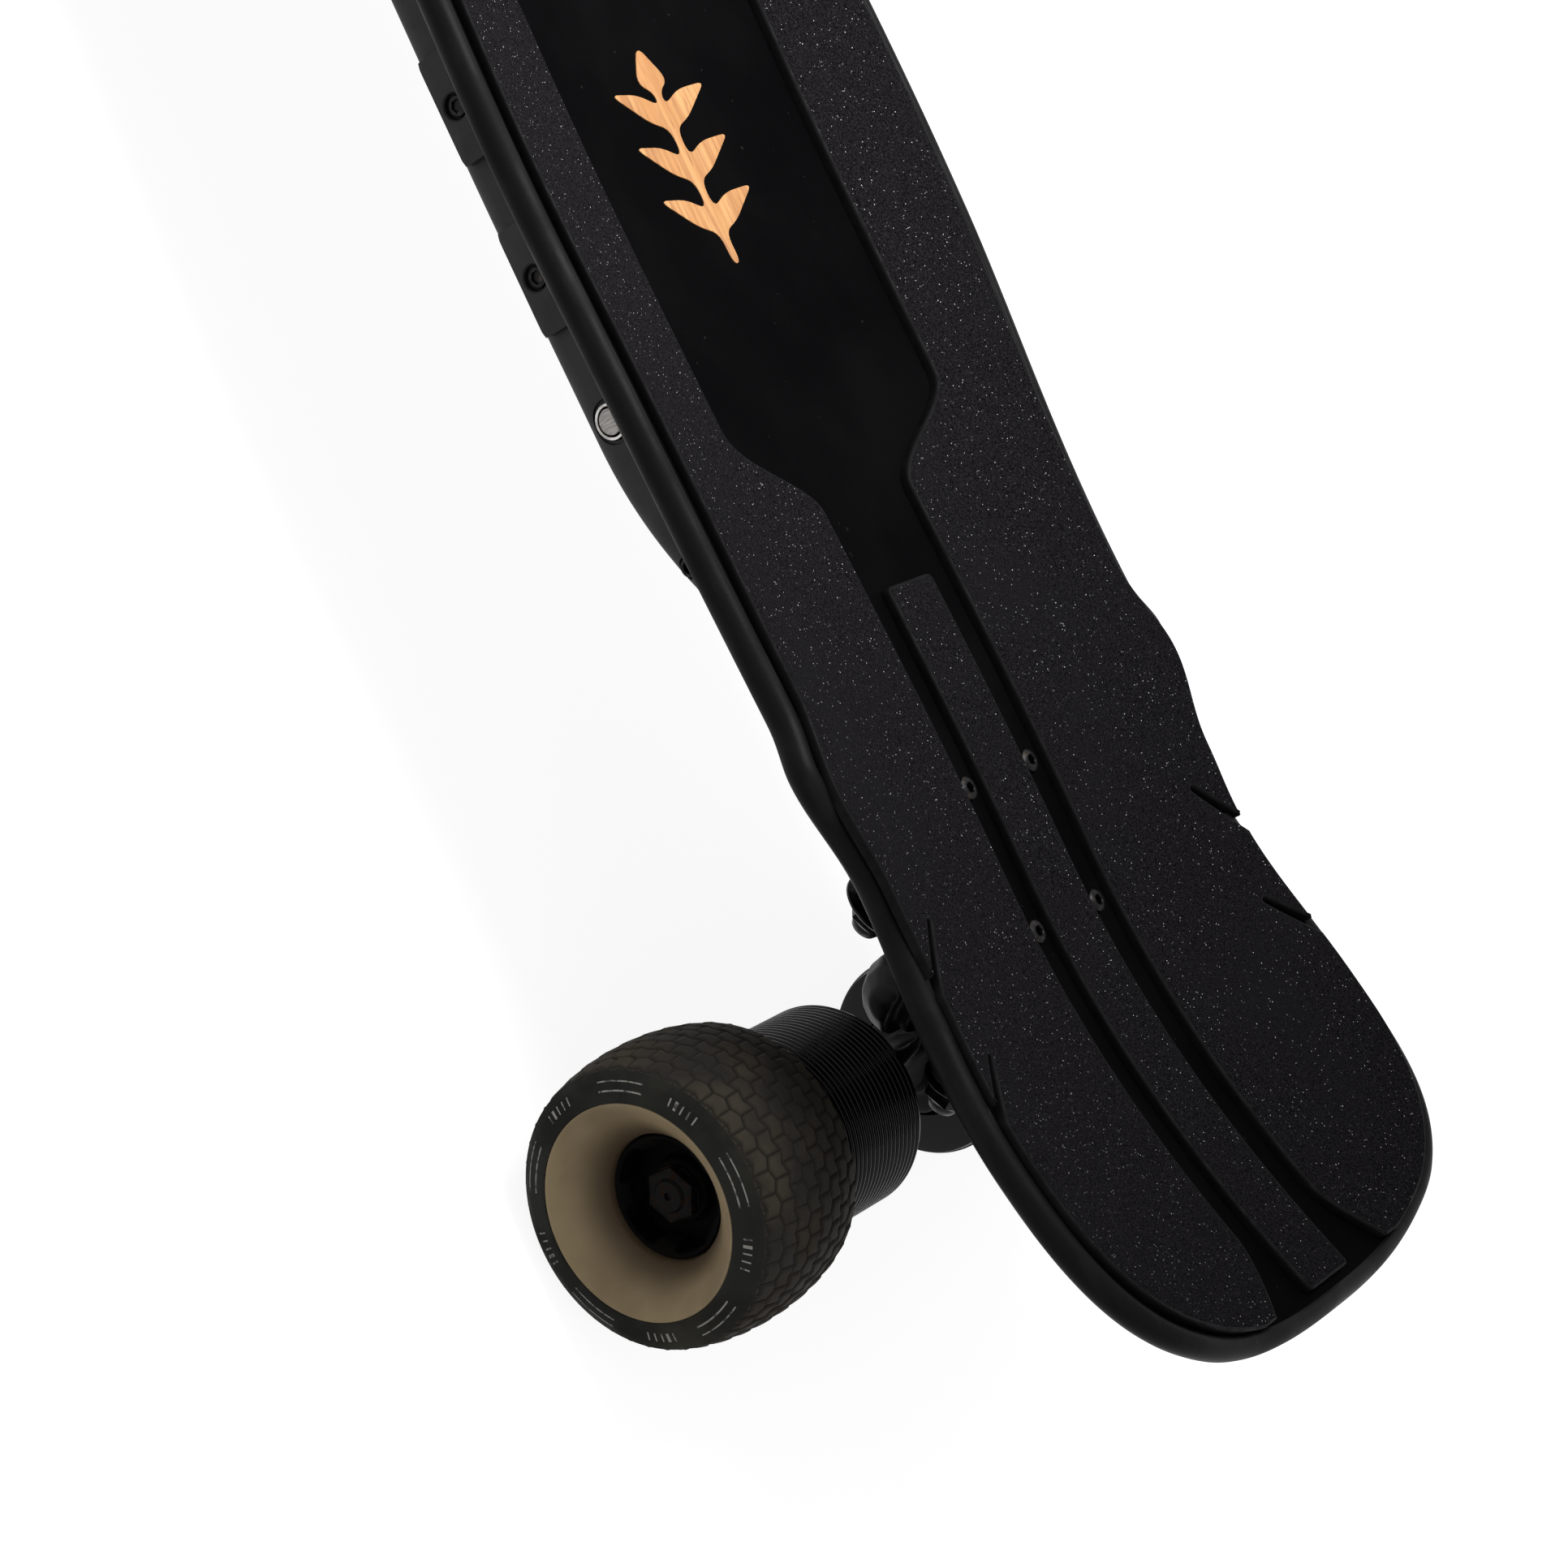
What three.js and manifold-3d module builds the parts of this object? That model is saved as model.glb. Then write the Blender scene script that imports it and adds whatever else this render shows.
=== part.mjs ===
// Electric skateboard on four all-terrain wheels, in millimetres, +Z up.
// +X points to the nose, +Y to the left side, and the board stands on its
// wheels with the origin on the ground under its middle.
import * as THREE from 'three';
import { mergeVertices } from 'three/addons/utils/BufferGeometryUtils.js';
import Module from 'manifold-3d';

const wasm = await Module();
wasm.setup();
const { Manifold, Mesh } = wasm;

// ---------- driving sizes ----------

const GAP = 0.4; // air between touching pieces
const SKIN_GAP = 0.9; // air under the sheets that follow the curved deck
const ROUND = 18; // facets around a large round piece
const SMALL_ROUND = 10; // facets around a pin or a screw
const SLIVER = 0.03; // detail dropped from joined and cut pieces

const wheel = {
  radius: 52.5,
  shoulder: 49,
  inner: 88.5,
  outer: 146,
  bulge: 2,
  lip: 38,
  hub: 22.5,
  dish: 16,
};
const truck = {
  boltAhead: 27,
  boltSide: 20.65,
  boltHole: 2.9,
  axleOut: 54,
  axleDrop: 104,
  rearAxle: 6,
  frontAxle: 4,
};
const deck = {
  half: 453,
  thick: 11,
  blunt: 3,
  truckAt: 268,
  dip: 8,
  kickRate: 0.00122,
  kickStart: 278,
  topAtTrucks: wheel.radius + truck.axleDrop,
};
// Half width of the deck at distances from its middle, eased between them.
const deckPlan = [[0, 124], [196, 115], [216, 120], [258, 108.5], [358, 121.5]];
const padPlan = [
  [0, 114.5], [160, 107], [190, 106.8], [226, 113.8], [262, 107.8], [286, 107], [360, 114.6],
];
// Sideways concave: rise per square millimetre of distance from the centre line.
const concavePlan = [[40, 0.00155], [190, 0.0012], [430, 0.00117], [453, 0.0004]];

const pad = {
  thick: 2.4,
  end: 446,
  tip: 443,
  blunt: 2.6,
  panel: 67,
  panelEnd: 100,
  neckAt: 136,
  slot: 27.3,
  spreadAt: 416,
  spread: 18,
};
// Slanted notches in a pad's outer edge: distance from the middle and half width
// at the root and at the mouth.
const notches = [
  { root: [275, 91], mouth: [296.5, 109] },
  { root: [322.5, 97.5], mouth: [342.5, 116.5] },
];
const notchHalf = { root: 1, mouth: 3 };
const strip = { from: 167, to: 442, half: 14.3 };
const box = { flat: 88, taper: 72, end: 157, half: 102, side: 17, floorHalf: 64, depth: 22.5, wall: 3 };
const clamp = { at: 31, length: 38, proud: 2.2, height: 14, recess: 4.6, screw: 2, head: 3.8 };
const button = { x: -84, below: 7.4, ring: 6, cap: 4.6, depth: 5 };
const port = { x: -138, below: 5.2, radius: 3.4, depth: 6 };
const cell = { radius: 9, count: 8, halfLength: 49, from: -52 };
const controller = { from: -106, to: -56, half: 40, raise: 4, thick: 11 };
const gland = { y: 34, below: 19, radius: 4.2, length: 13.5 };
const motor = {
  radius: 37.5,
  inner: 28.3,
  outer: 86,
  endHole: 24,
  shell: 4.3,
  fins: 10,
  finDepth: 2,
  adapter: 21.8,
  adapterWall: 5.3,
};

// ---------- materials ----------

function finish(colour, roughness, metalness) {
  return new THREE.MeshStandardMaterial({ color: colour, roughness, metalness });
}

const deckBlack = finish(0x17181a, 0.6, 0.0);
const gritBlack = finish(0x222325, 0.95, 0.0);
const bamboo = finish(0xd39a54, 0.55, 0.0);
const shellBlack = finish(0x1b1c1e, 0.5, 0.0);
const bareMetal = finish(0xb9bcc0, 0.3, 1.0);
const blackMetal = finish(0x121315, 0.35, 0.8);
const blackSteel = finish(0x1c1b1a, 0.45, 0.9);
const bushingBlack = finish(0x2a2b2d, 0.7, 0.0);
const tyreRubber = finish(0x3d3b35, 0.9, 0.0);
const coreCream = finish(0xcdb48f, 0.6, 0.0);
const copper = finish(0xa0622d, 0.5, 0.6);
const cellWrap = finish(0x2c4a7a, 0.5, 0.0);
const boardGreen = finish(0x1f4b33, 0.6, 0.1);

// ---------- shape helpers ----------

const model = new THREE.Group();
model.name = 'skateboard';

function add(name, geometry, material) {
  const mesh = new THREE.Mesh(geometry, material);
  mesh.name = name;
  model.add(mesh);
}

function solid(geometry) {
  const plain = geometry.clone();
  plain.deleteAttribute('normal');
  plain.deleteAttribute('uv');
  const welded = mergeVertices(plain, 1e-4);
  return new Manifold(new Mesh({
    numProp: 3,
    vertProperties: new Float32Array(welded.attributes.position.array),
    triVerts: new Uint32Array(welded.index.array),
  }));
}

function shape(manifold) {
  const mesh = manifold.simplify(SLIVER).getMesh();
  const geometry = new THREE.BufferGeometry();
  geometry.setAttribute('position', new THREE.BufferAttribute(new Float32Array(mesh.vertProperties), 3));
  geometry.setIndex(new THREE.BufferAttribute(new Uint32Array(mesh.triVerts), 1));
  const flat = geometry.toNonIndexed();
  flat.computeVertexNormals();
  return flat;
}

function join(...geometries) {
  return shape(geometries.map(solid).reduce((all, next) => all.add(next)));
}

function cut(geometry, ...tools) {
  return shape(tools.map(solid).reduce((left, tool) => left.subtract(tool), solid(geometry)));
}

// Turns a list of triangles, each three [x, y, z] points, into a welded geometry
// that faces outward. Triangles with two equal corners are left out.
function weld(triangles) {
  const keys = new Map();
  const points = [];
  const index = [];
  const idOf = (point) => {
    const key = point.map((value) => Math.round(value * 1e4)).join();
    if (!keys.has(key)) {
      keys.set(key, points.length / 3);
      points.push(...point);
    }
    return keys.get(key);
  };
  for (const triangle of triangles) {
    const [a, b, c] = triangle.map(idOf);
    if (a !== b && b !== c && a !== c) index.push(a, b, c);
  }
  let volume = 0;
  const at = (id) => new THREE.Vector3(...points.slice(3 * id, 3 * id + 3));
  for (let i = 0; i < index.length; i += 3) {
    volume += at(index[i]).dot(at(index[i + 1]).cross(at(index[i + 2])));
  }
  if (volume < 0) index.reverse();
  const geometry = new THREE.BufferGeometry();
  geometry.setAttribute('position', new THREE.Float32BufferAttribute(points, 3));
  geometry.setIndex(index);
  return geometry;
}

// Closed body through a row of sections. Each section is a pair of equally long
// rows of points, its upper row and its lower row, both from -Y to +Y.
function loft(sections) {
  const triangles = [];
  const quad = (a, b, c, d) => triangles.push([a, b, c], [a, c, d]);
  const rings = sections.map(({ upper, lower }) => [...upper, ...[...lower].reverse()]);
  for (let i = 0; i + 1 < rings.length; i += 1) {
    const count = rings[i].length;
    for (let j = 0; j < count; j += 1) {
      const k = (j + 1) % count;
      quad(rings[i][j], rings[i + 1][j], rings[i + 1][k], rings[i][k]);
    }
  }
  const first = sections[0];
  const last = sections[sections.length - 1];
  for (let j = 0; j + 1 < first.upper.length; j += 1) {
    quad(first.upper[j], first.upper[j + 1], first.lower[j + 1], first.lower[j]);
    quad(last.upper[j + 1], last.upper[j], last.lower[j], last.lower[j + 1]);
  }
  return weld(triangles);
}

// Round bar from one point to another.
function rod(from, to, radius, facets = SMALL_ROUND) {
  const start = new THREE.Vector3(...from);
  const along = new THREE.Vector3(...to).sub(start);
  const geometry = new THREE.CylinderGeometry(radius, radius, along.length(), facets);
  const direction = along.clone().normalize();
  const turn = new THREE.Quaternion().setFromUnitVectors(new THREE.Vector3(0, 1, 0), direction);
  geometry.applyQuaternion(turn);
  const middle = start.addScaledVector(along, 0.5);
  return geometry.translate(middle.x, middle.y, middle.z);
}

// Body turned about the Y direction from a closed row of [radius, y] points.
function turned(profile, facets = ROUND) {
  const closed = [...profile, profile[0]].map(([radius, y]) => new THREE.Vector2(radius, y));
  return weld(trianglesOf(new THREE.LatheGeometry(closed, facets)));
}

function trianglesOf(geometry) {
  const flat = geometry.index ? geometry.toNonIndexed() : geometry;
  const position = flat.attributes.position;
  const corner = (i) => [position.getX(i), position.getY(i), position.getZ(i)];
  const triangles = [];
  for (let i = 0; i < position.count; i += 3) {
    triangles.push([corner(i), corner(i + 1), corner(i + 2)]);
  }
  return triangles;
}

// Plate cut to an outline of [x, z] points, centred on y = 0 and so many mm wide.
function slab(outline, width) {
  const profile = new THREE.Shape(outline.map(([x, z]) => new THREE.Vector2(x, z)));
  const geometry = new THREE.ExtrudeGeometry(profile, { depth: width, bevelEnabled: false });
  return geometry.rotateX(Math.PI / 2).translate(0, width / 2, 0);
}

// Plate cut to an outline drawn from above, between two heights.
function plate(profile, low, high, curveSegments = 3) {
  return new THREE.ExtrudeGeometry(profile, { depth: high - low, bevelEnabled: false, curveSegments })
    .translate(0, 0, low);
}

function roundedRectangle(halfX, halfY, corner) {
  const path = new THREE.Shape();
  path.moveTo(-halfX + corner, -halfY);
  path.lineTo(halfX - corner, -halfY);
  path.absarc(halfX - corner, -halfY + corner, corner, -Math.PI / 2, 0);
  path.lineTo(halfX, halfY - corner);
  path.absarc(halfX - corner, halfY - corner, corner, 0, Math.PI / 2);
  path.lineTo(-halfX + corner, halfY);
  path.absarc(-halfX + corner, halfY - corner, corner, Math.PI / 2, Math.PI);
  path.lineTo(-halfX, -halfY + corner);
  path.absarc(-halfX + corner, -halfY + corner, corner, Math.PI, 1.5 * Math.PI);
  return path;
}

// ---------- deck surface ----------

const ease = (t) => (1 - Math.cos(Math.PI * Math.min(1, Math.max(0, t)))) / 2;

function eased(plan, distance) {
  const next = plan.findIndex(([at]) => distance <= at);
  if (next === 0) return plan[0][1];
  if (next < 0) return plan[plan.length - 1][1];
  const [from, low] = plan[next - 1];
  const [to, high] = plan[next];
  return low + (high - low) * ease((distance - from) / (to - from));
}

// Half width that follows a plan and closes to a rounded end.
function planHalf(plan, end, blunt, distance) {
  const [start, width] = plan[plan.length - 1];
  if (distance <= start) return eased(plan, distance);
  const t = Math.min(1, (distance - start) / (end - start));
  return width * (1 - t ** blunt) ** 0.385;
}

const deckHalf = (x) => planHalf(deckPlan, deck.half, deck.blunt, Math.abs(x));

// Height of the top of the deck above the ground.
function deckTop(x, y) {
  const distance = Math.abs(x);
  const dip = deck.dip * (1 - ease(distance / deck.truckAt));
  const kick = deck.kickRate * Math.max(0, distance - deck.kickStart) ** 2;
  return deck.topAtTrucks - dip + kick + eased(concavePlan, distance) * y * y;
}

const deckUnder = (x, y) => deckTop(x, y) - deck.thick;

function spread(from, to, steps) {
  return Array.from({ length: steps + 1 }, (_, i) => from + ((to - from) * i) / steps);
}

// Distances from the middle at which the deck is drawn, closer at the flares.
const stepsBetween = [4, 3, 4, 5];
const stations = [
  0,
  ...stepsBetween.flatMap((steps, i) => spread(deckPlan[i][0], deckPlan[i + 1][0], steps).slice(1)),
  374,
];
const mirrored = (row) => [...row.filter((u) => u > 0).map((u) => -u).reverse(), ...row];

function deckOutline() {
  const [start] = deckPlan[deckPlan.length - 1];
  const tips = spread(0, Math.PI / 2, 7).slice(1)
    .map((angle) => start + (deck.half - start) * Math.sin(angle) ** (2 / deck.blunt));
  const left = mirrored([...stations, ...tips]).map((x) => [x, deckHalf(x)]);
  const right = left.slice(1, -1).reverse().map(([x, y]) => [x, -y]);
  return [...left, ...right];
}

// The deck is drawn as rings that run from a spine on the centre line out to the
// rounded edge on top, around the edge, and back to the spine underneath.
function deckBody() {
  const edge = deck.thick / 2;
  const spineEnd = 400;
  const outline = deckOutline();
  const count = outline.length;
  const columns = outline.map(([x, y], i) => {
    const [ax, ay] = outline[(i + count - 1) % count];
    const [bx, by] = outline[(i + 1) % count];
    const outward = new THREE.Vector2(ay - by, bx - ax).normalize();
    const inset = [x - outward.x * edge, y - outward.y * edge];
    const spine = Math.max(-spineEnd, Math.min(spineEnd, x));
    const inward = (share, height) => {
      const px = spine + (inset[0] - spine) * share;
      const py = inset[1] * share;
      return [px, py, height(px, py)];
    };
    const around = (angle) => [
      inset[0] + outward.x * edge * Math.cos(angle),
      inset[1] + outward.y * edge * Math.cos(angle),
      deckTop(...inset) - edge + edge * Math.sin(angle),
    ];
    return [
      ...spread(0, 1, 5).map((share) => inward(share, deckTop)),
      ...spread(Math.PI / 4, -Math.PI / 4, 2).map(around),
      ...spread(1, 0, 3).map((share) => inward(share, deckUnder)),
    ];
  });
  const triangles = [];
  columns.forEach((column, i) => {
    const next = columns[(i + 1) % count];
    for (let j = 0; j + 1 < column.length; j += 1) {
      triangles.push([column[j], next[j], next[j + 1]], [column[j], next[j + 1], column[j + 1]]);
    }
  });
  return weld(triangles);
}

const boltPlaces = [];
for (const end of [-1, 1]) {
  for (const ahead of [-1, 1]) {
    for (const side of [-1, 1]) {
      boltPlaces.push([end * deck.truckAt + ahead * truck.boltAhead, side * truck.boltSide]);
    }
  }
}

const boltHoles = boltPlaces.map(([x, y]) => (
  rod([x, y, deck.topAtTrucks - 2 * deck.thick], [x, y, deck.topAtTrucks + deck.thick], truck.boltHole)
));
add('deck', cut(deckBody(), ...boltHoles), deckBlack);

// ---------- grip and inlay ----------

// Skin that lies on the deck between two edges, drawn across in a few steps.
function skin(rows, steps, thick) {
  return loft(rows.map(([x, from, to]) => {
    const across = spread(from, to, steps);
    return {
      upper: across.map((y) => [x, y, deckTop(x, y) + SKIN_GAP + thick]),
      lower: across.map((y) => [x, y, deckTop(x, y) + SKIN_GAP]),
    };
  }));
}

function padInner(u) {
  if (u <= pad.panelEnd) return pad.panel;
  const narrowing = Math.min(1, (u - pad.panelEnd) / (pad.neckAt - pad.panelEnd));
  const spreading = Math.max(0, (u - pad.spreadAt) / (pad.end - pad.spreadAt));
  return pad.panel + (pad.slot - pad.panel) * narrowing + pad.spread * spreading ** 1.4;
}

const padOuter = (u) => planHalf(padPlan, pad.end, pad.blunt, u);

// Tool for a notch in the outer edge of a grip pad, from its root to past the edge.
function notchTool(end, side, place) {
  const [root, mouth] = [place.root, place.mouth].map(([u, y]) => new THREE.Vector2(end * u, side * y));
  const along = mouth.clone().sub(root).normalize();
  const across = new THREE.Vector2(-along.y, along.x);
  const beyond = mouth.clone().addScaledVector(along, 4 * notchHalf.mouth);
  const corners = [
    root.clone().addScaledVector(across, notchHalf.root),
    beyond.clone().addScaledVector(across, notchHalf.mouth),
    beyond.clone().addScaledVector(across, -notchHalf.mouth),
    root.clone().addScaledVector(across, -notchHalf.root),
  ];
  const low = deck.topAtTrucks - 5;
  const taller = 50; // more than the deck rises beside its kick
  return weld(trianglesOf(plate(new THREE.Shape(corners), low, low + taller)));
}

function gripPad(side) {
  const last = stations[stations.length - 1];
  const tips = spread(0, Math.PI / 2, 7).slice(1)
    .map((angle) => last + (pad.tip - last) * Math.sin(angle));
  const rows = mirrored([...stations, ...tips, pad.panelEnd + 2, pad.neckAt].sort((a, b) => a - b))
    .map((x) => [x, padInner(Math.abs(x)), padOuter(Math.abs(x))])
    .map(([x, inner, outer]) => (side > 0 ? [x, inner, outer] : [x, -outer, -inner]));
  const tools = [-1, 1].flatMap((end) => notches.map((place) => notchTool(end, side, place)));
  return cut(skin(rows, 3, pad.thick), ...tools);
}

add('grip_pad_left', gripPad(1), gritBlack);
add('grip_pad_right', gripPad(-1), gritBlack);
for (const [name, end] of [['tail', -1], ['nose', 1]]) {
  const rows = spread(strip.from, strip.to, 14).map((u) => [end * u, -strip.half, strip.half]);
  add(`grip_strip_${name}`, skin(rows, 1, pad.thick), gritBlack);
}

// Sprig inlay: a stem along the board with pairs of leaves and one at its tip.
function sprigOutline() {
  const half = 42;
  const leafTips = [-30, -10, 10];
  const reach = 28;
  const stem = 2;
  const leftSide = [];
  for (const x of leafTips) {
    leftSide.push([x, stem], [x + 3, stem + 9], [x + 15, reach], [x + 14, stem + 10], [x + 9, stem]);
  }
  const outline = [[-half, -stem], [-half, stem], ...leftSide, [24, stem], [28, 9], [half, 0], [28, -9]];
  const rightSide = leftSide.map(([x, y]) => [x, -y]).reverse();
  return [...outline, [24, -stem], ...rightSide];
}

function sprig() {
  const profile = new THREE.Shape(sprigOutline().map(([x, y]) => new THREE.Vector2(x, y)));
  const geometry = new THREE.ExtrudeGeometry(profile, { depth: 0.9, bevelEnabled: false });
  const position = geometry.attributes.position;
  for (let i = 0; i < position.count; i += 1) {
    const lift = deckTop(position.getX(i), position.getY(i)) + GAP;
    position.setZ(i, position.getZ(i) + lift);
  }
  return weld(trianglesOf(geometry));
}

add('inlay', sprig(), bamboo);

// ---------- battery enclosure ----------

// Fullness of the enclosure along the board: whole in the middle, nothing at its ends.
const fullness = (u) => 1 - (Math.max(0, u - box.flat) / box.taper) ** 2;

// Section of the enclosure, drawn smaller by the wall for its hollow. Its floor is
// level where the enclosure is full, and follows the deck toward its ends.
function boxSection(x, wall, raise) {
  const full = fullness(Math.abs(x));
  const half = box.half - wall;
  const side = deckUnder(x, box.half) - GAP - Math.max(0.6, box.side * full - wall);
  const floorFrom = deckUnder(0, 0) * full + deckUnder(x, 0) * (1 - full);
  const floor = floorFrom - GAP - Math.max(0.4, box.depth * full - wall);
  const across = spread(-half, half, 8);
  const lowest = (y) => {
    const overhang = Math.max(0, Math.abs(y) - box.floorHalf) / (half - box.floorHalf);
    return floor + (side - floor) * overhang;
  };
  return {
    upper: across.map((y) => [x, y, deckUnder(x, y) - GAP + raise]),
    lower: across.map((y) => [x, y, Math.min(lowest(y), deckUnder(x, y) - GAP - 0.4)]),
  };
}

const wallTop = (x) => deckUnder(x, box.half) - GAP;

// Round tool through the left wall, so far below its top, between two depths from its face.
function leftWallRod({ x, below }, radius, from, to, facets = 14) {
  const z = wallTop(x) - below;
  return rod([x, box.half + from, z], [x, box.half + to, z], radius, facets);
}

const boxRows = [0, 44, 88, 100, 112, 124, 136, 147, 157];
const hollowRows = [0, 44, 88, 104, 118];
const clampPlaces = [];
for (const end of [-1, 1]) {
  for (const side of [-1, 1]) clampPlaces.push([end * clamp.at, side]);
}
const clampZ = (x) => wallTop(x) - box.side / 2;
const clampRod = (x, side, radius, from, to, facets) => (
  rod([x, side * (box.half + from), clampZ(x)], [x, side * (box.half + to), clampZ(x)], radius, facets)
);

add('enclosure', cut(
  loft(mirrored(boxRows).map((x) => boxSection(x, 0, 0))),
  loft(mirrored(hollowRows).map((x) => boxSection(x, box.wall, 6))),
  leftWallRod(button, button.ring + GAP, -8, 4),
  leftWallRod(port, port.radius + GAP, -12, 4, SMALL_ROUND),
  ...clampPlaces.map(([x, side]) => clampRod(x, side, clamp.screw + GAP, -12, 4)),
), shellBlack);

for (const [x, side] of clampPlaces) {
  const z = clampZ(x);
  const near = box.half + GAP;
  const name = `${x < 0 ? 'rear' : 'front'}_${side > 0 ? 'left' : 'right'}`;
  const block = new THREE.Shape();
  block.moveTo(-clamp.length / 2, near);
  block.lineTo(clamp.length / 2, near);
  block.lineTo(clamp.length / 2 - 1, near + clamp.proud);
  block.lineTo(-clamp.length / 2 + 1, near + clamp.proud);
  const body = plate(block, z - clamp.height / 2, z + clamp.height / 2).translate(x, 0, 0);
  if (side < 0) body.rotateZ(Math.PI).translate(2 * x, 0, 0);
  add(`clamp_${name}`, cut(body, clampRod(x, side, clamp.recess, -3, clamp.proud + 4)), shellBlack);
  add(`clamp_screw_${name}`, join(
    clampRod(x, side, clamp.screw, -6, GAP + 1.2),
    clampRod(x, side, clamp.head, GAP - 0.2, GAP + 1.4, 12),
  ), blackSteel);
}

add('button_bezel', cut(
  leftWallRod(button, button.ring, -button.depth, 1),
  leftWallRod(button, button.cap + GAP, -button.depth - 1, 2),
), bareMetal);
add('power_button', leftWallRod(button, button.cap, -button.depth, 1.6), bareMetal);

add('charge_port', cut(
  leftWallRod(port, port.radius, -port.depth, -0.6),
  leftWallRod(port, port.radius - 1.2, 3 - port.depth, 1),
), blackSteel);

// Battery pack: a row of round cells lying across the board in one wrap.
function batteryOutline(from, z) {
  const upper = [];
  for (let i = 0; i < cell.count; i += 1) {
    const x = from + cell.radius * (2 * i + 1);
    for (const angle of [150, 115, 65, 30]) {
      const turn = (angle * Math.PI) / 180;
      upper.push([x + cell.radius * Math.cos(turn), z + cell.radius * Math.sin(turn)]);
    }
  }
  const lower = upper.map(([x, height]) => [x, 2 * z - height]).reverse();
  return [...upper, ...lower];
}

const insideFloor = deckUnder(0, 0) - GAP - box.depth + box.wall;
const batteryZ = insideFloor + GAP + cell.radius;
add('battery_pack', slab(batteryOutline(cell.from, batteryZ), 2 * cell.halfLength), cellWrap);

const controllerBase = insideFloor + controller.raise;
const fins = spread(controller.from + 4, controller.to - 8, 5).map((x) => (
  slab([[x, controllerBase + 3], [x + 3, controllerBase + 3], [x + 3, controllerBase + controller.thick],
    [x, controllerBase + controller.thick]], 2 * controller.half - 8)
));
add('motor_controller', join(
  slab([[controller.from, controllerBase], [controller.to, controllerBase],
    [controller.to, controllerBase + 4], [controller.from, controllerBase + 4]], 2 * controller.half),
  ...fins,
), boardGreen);

// ---------- trucks, drawn with x pointing away from the board's middle ----------
// Heights are below the top of the deck at the truck bolts.

const lead = { centre: [-8, -53], tilt: 20 }; // pivot between the baseplate and the carrier
const trail = { centre: [56, -58], tilt: 32 }; // pivot between the carrier and the hanger

// Point of a pivot: so far along its axis, so far along its kingpin, so far sideways.
function pivotPoint(pivot, along, down, side = 0) {
  const tilt = (pivot.tilt * Math.PI) / 180;
  return [
    pivot.centre[0] + along * Math.cos(tilt) + down * Math.sin(tilt),
    side,
    pivot.centre[1] + along * Math.sin(tilt) - down * Math.cos(tilt),
  ];
}

const kingRod = (pivot, from, to, radius, facets) => (
  rod(pivotPoint(pivot, 0, from), pivotPoint(pivot, 0, to), radius, facets)
);
const axisRod = (pivot, from, to, radius, facets) => (
  rod(pivotPoint(pivot, from, 0), pivotPoint(pivot, to, 0), radius, facets)
);

const plateTop = -deck.thick - 2 * GAP;
const plateLow = plateTop - 6;
const noseRadius = 5.9;
const pinHole = 7.4;

function baseplate() {
  const body = join(
    plate(roundedRectangle(40, 28, 6), plateLow, plateTop, 2),
    kingRod(lead, -22, -37, 13, ROUND),
    axisRod(lead, 20, 31, 9.5, 12),
    slab([[3, plateLow + 1], [28, plateLow + 1], [22, -34], [18, -40], [8, -42]], 17),
  );
  const holes = [-1, 1].flatMap((ahead) => [-1, 1].map((side) => {
    const [x, y] = [ahead * truck.boltAhead, side * truck.boltSide];
    return rod([x, y, plateLow - 20], [x, y, plateTop + 2], truck.boltHole);
  }));
  const pin = kingRod(lead, -60, -10, 5.2);
  const head = kingRod(lead, -60, -31.6, 8.6);
  return cut(body, ...holes, pin, head, axisRod(lead, 15, 29, noseRadius + GAP));
}

function carrier() {
  const body = join(
    kingRod(lead, -6.5, 6.5, 17, ROUND),
    axisRod(lead, 10, 27, noseRadius),
    slab([[4, -47], [10, -56], [14, -66], [24, -68], [27, -54], [20, -55.5], [12, -56]], 24),
    slab([[22, -70], [25.5, -57], [30, -50], [30, -41], [37, -33], [42, -38.5], [34.4, -47.2], [33, -58],
      [34, -70]], 22),
    axisRod(trail, -22, -31, 11.5, 12),
    domeBehind(trail, -31, 17),
    kingRod(trail, -21, -31.5, 11.5, 12),
  );
  return cut(
    body,
    kingRod(lead, -40, 40, pinHole),
    axisRod(trail, -20, -37, noseRadius + GAP),
    kingRod(trail, -60, -10, 5.2),
    kingRod(trail, -60, -27.2, 8.6),
  );
}

// Domed back of the cup that takes a pivot's nose, flat on the nose's side.
function domeBehind(pivot, along, radius) {
  const [x, y, z] = pivotPoint(pivot, along, 0);
  const ball = new THREE.SphereGeometry(radius, 14, 7).translate(x, y, z);
  const size = 2 * radius;
  const outline = [[along + 3, -size], [along + size, -size], [along + size, size], [along + 3, size]]
    .map(([a, d]) => pivotPoint(pivot, a, d)).map(([px, , pz]) => [px, pz]);
  return cut(ball, slab(outline, 2 * size));
}

// Kingpin in one piece with the washer and the nut tightened on it.
function kingpin(pivot, headAt, washerAt, washerRadius) {
  const rounds = [
    kingRod(pivot, headAt, washerAt + 14, 4.8, 8),
    kingRod(pivot, headAt, headAt + 3.6, 8, 6),
    kingRod(pivot, washerAt, washerAt + 2, washerRadius, 14),
    kingRod(pivot, washerAt + 2, washerAt + 9, 8.6, 6),
    kingRod(pivot, washerAt + 9, washerAt + 15, 6.2, 8),
  ];
  return join(...rounds);
}

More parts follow.
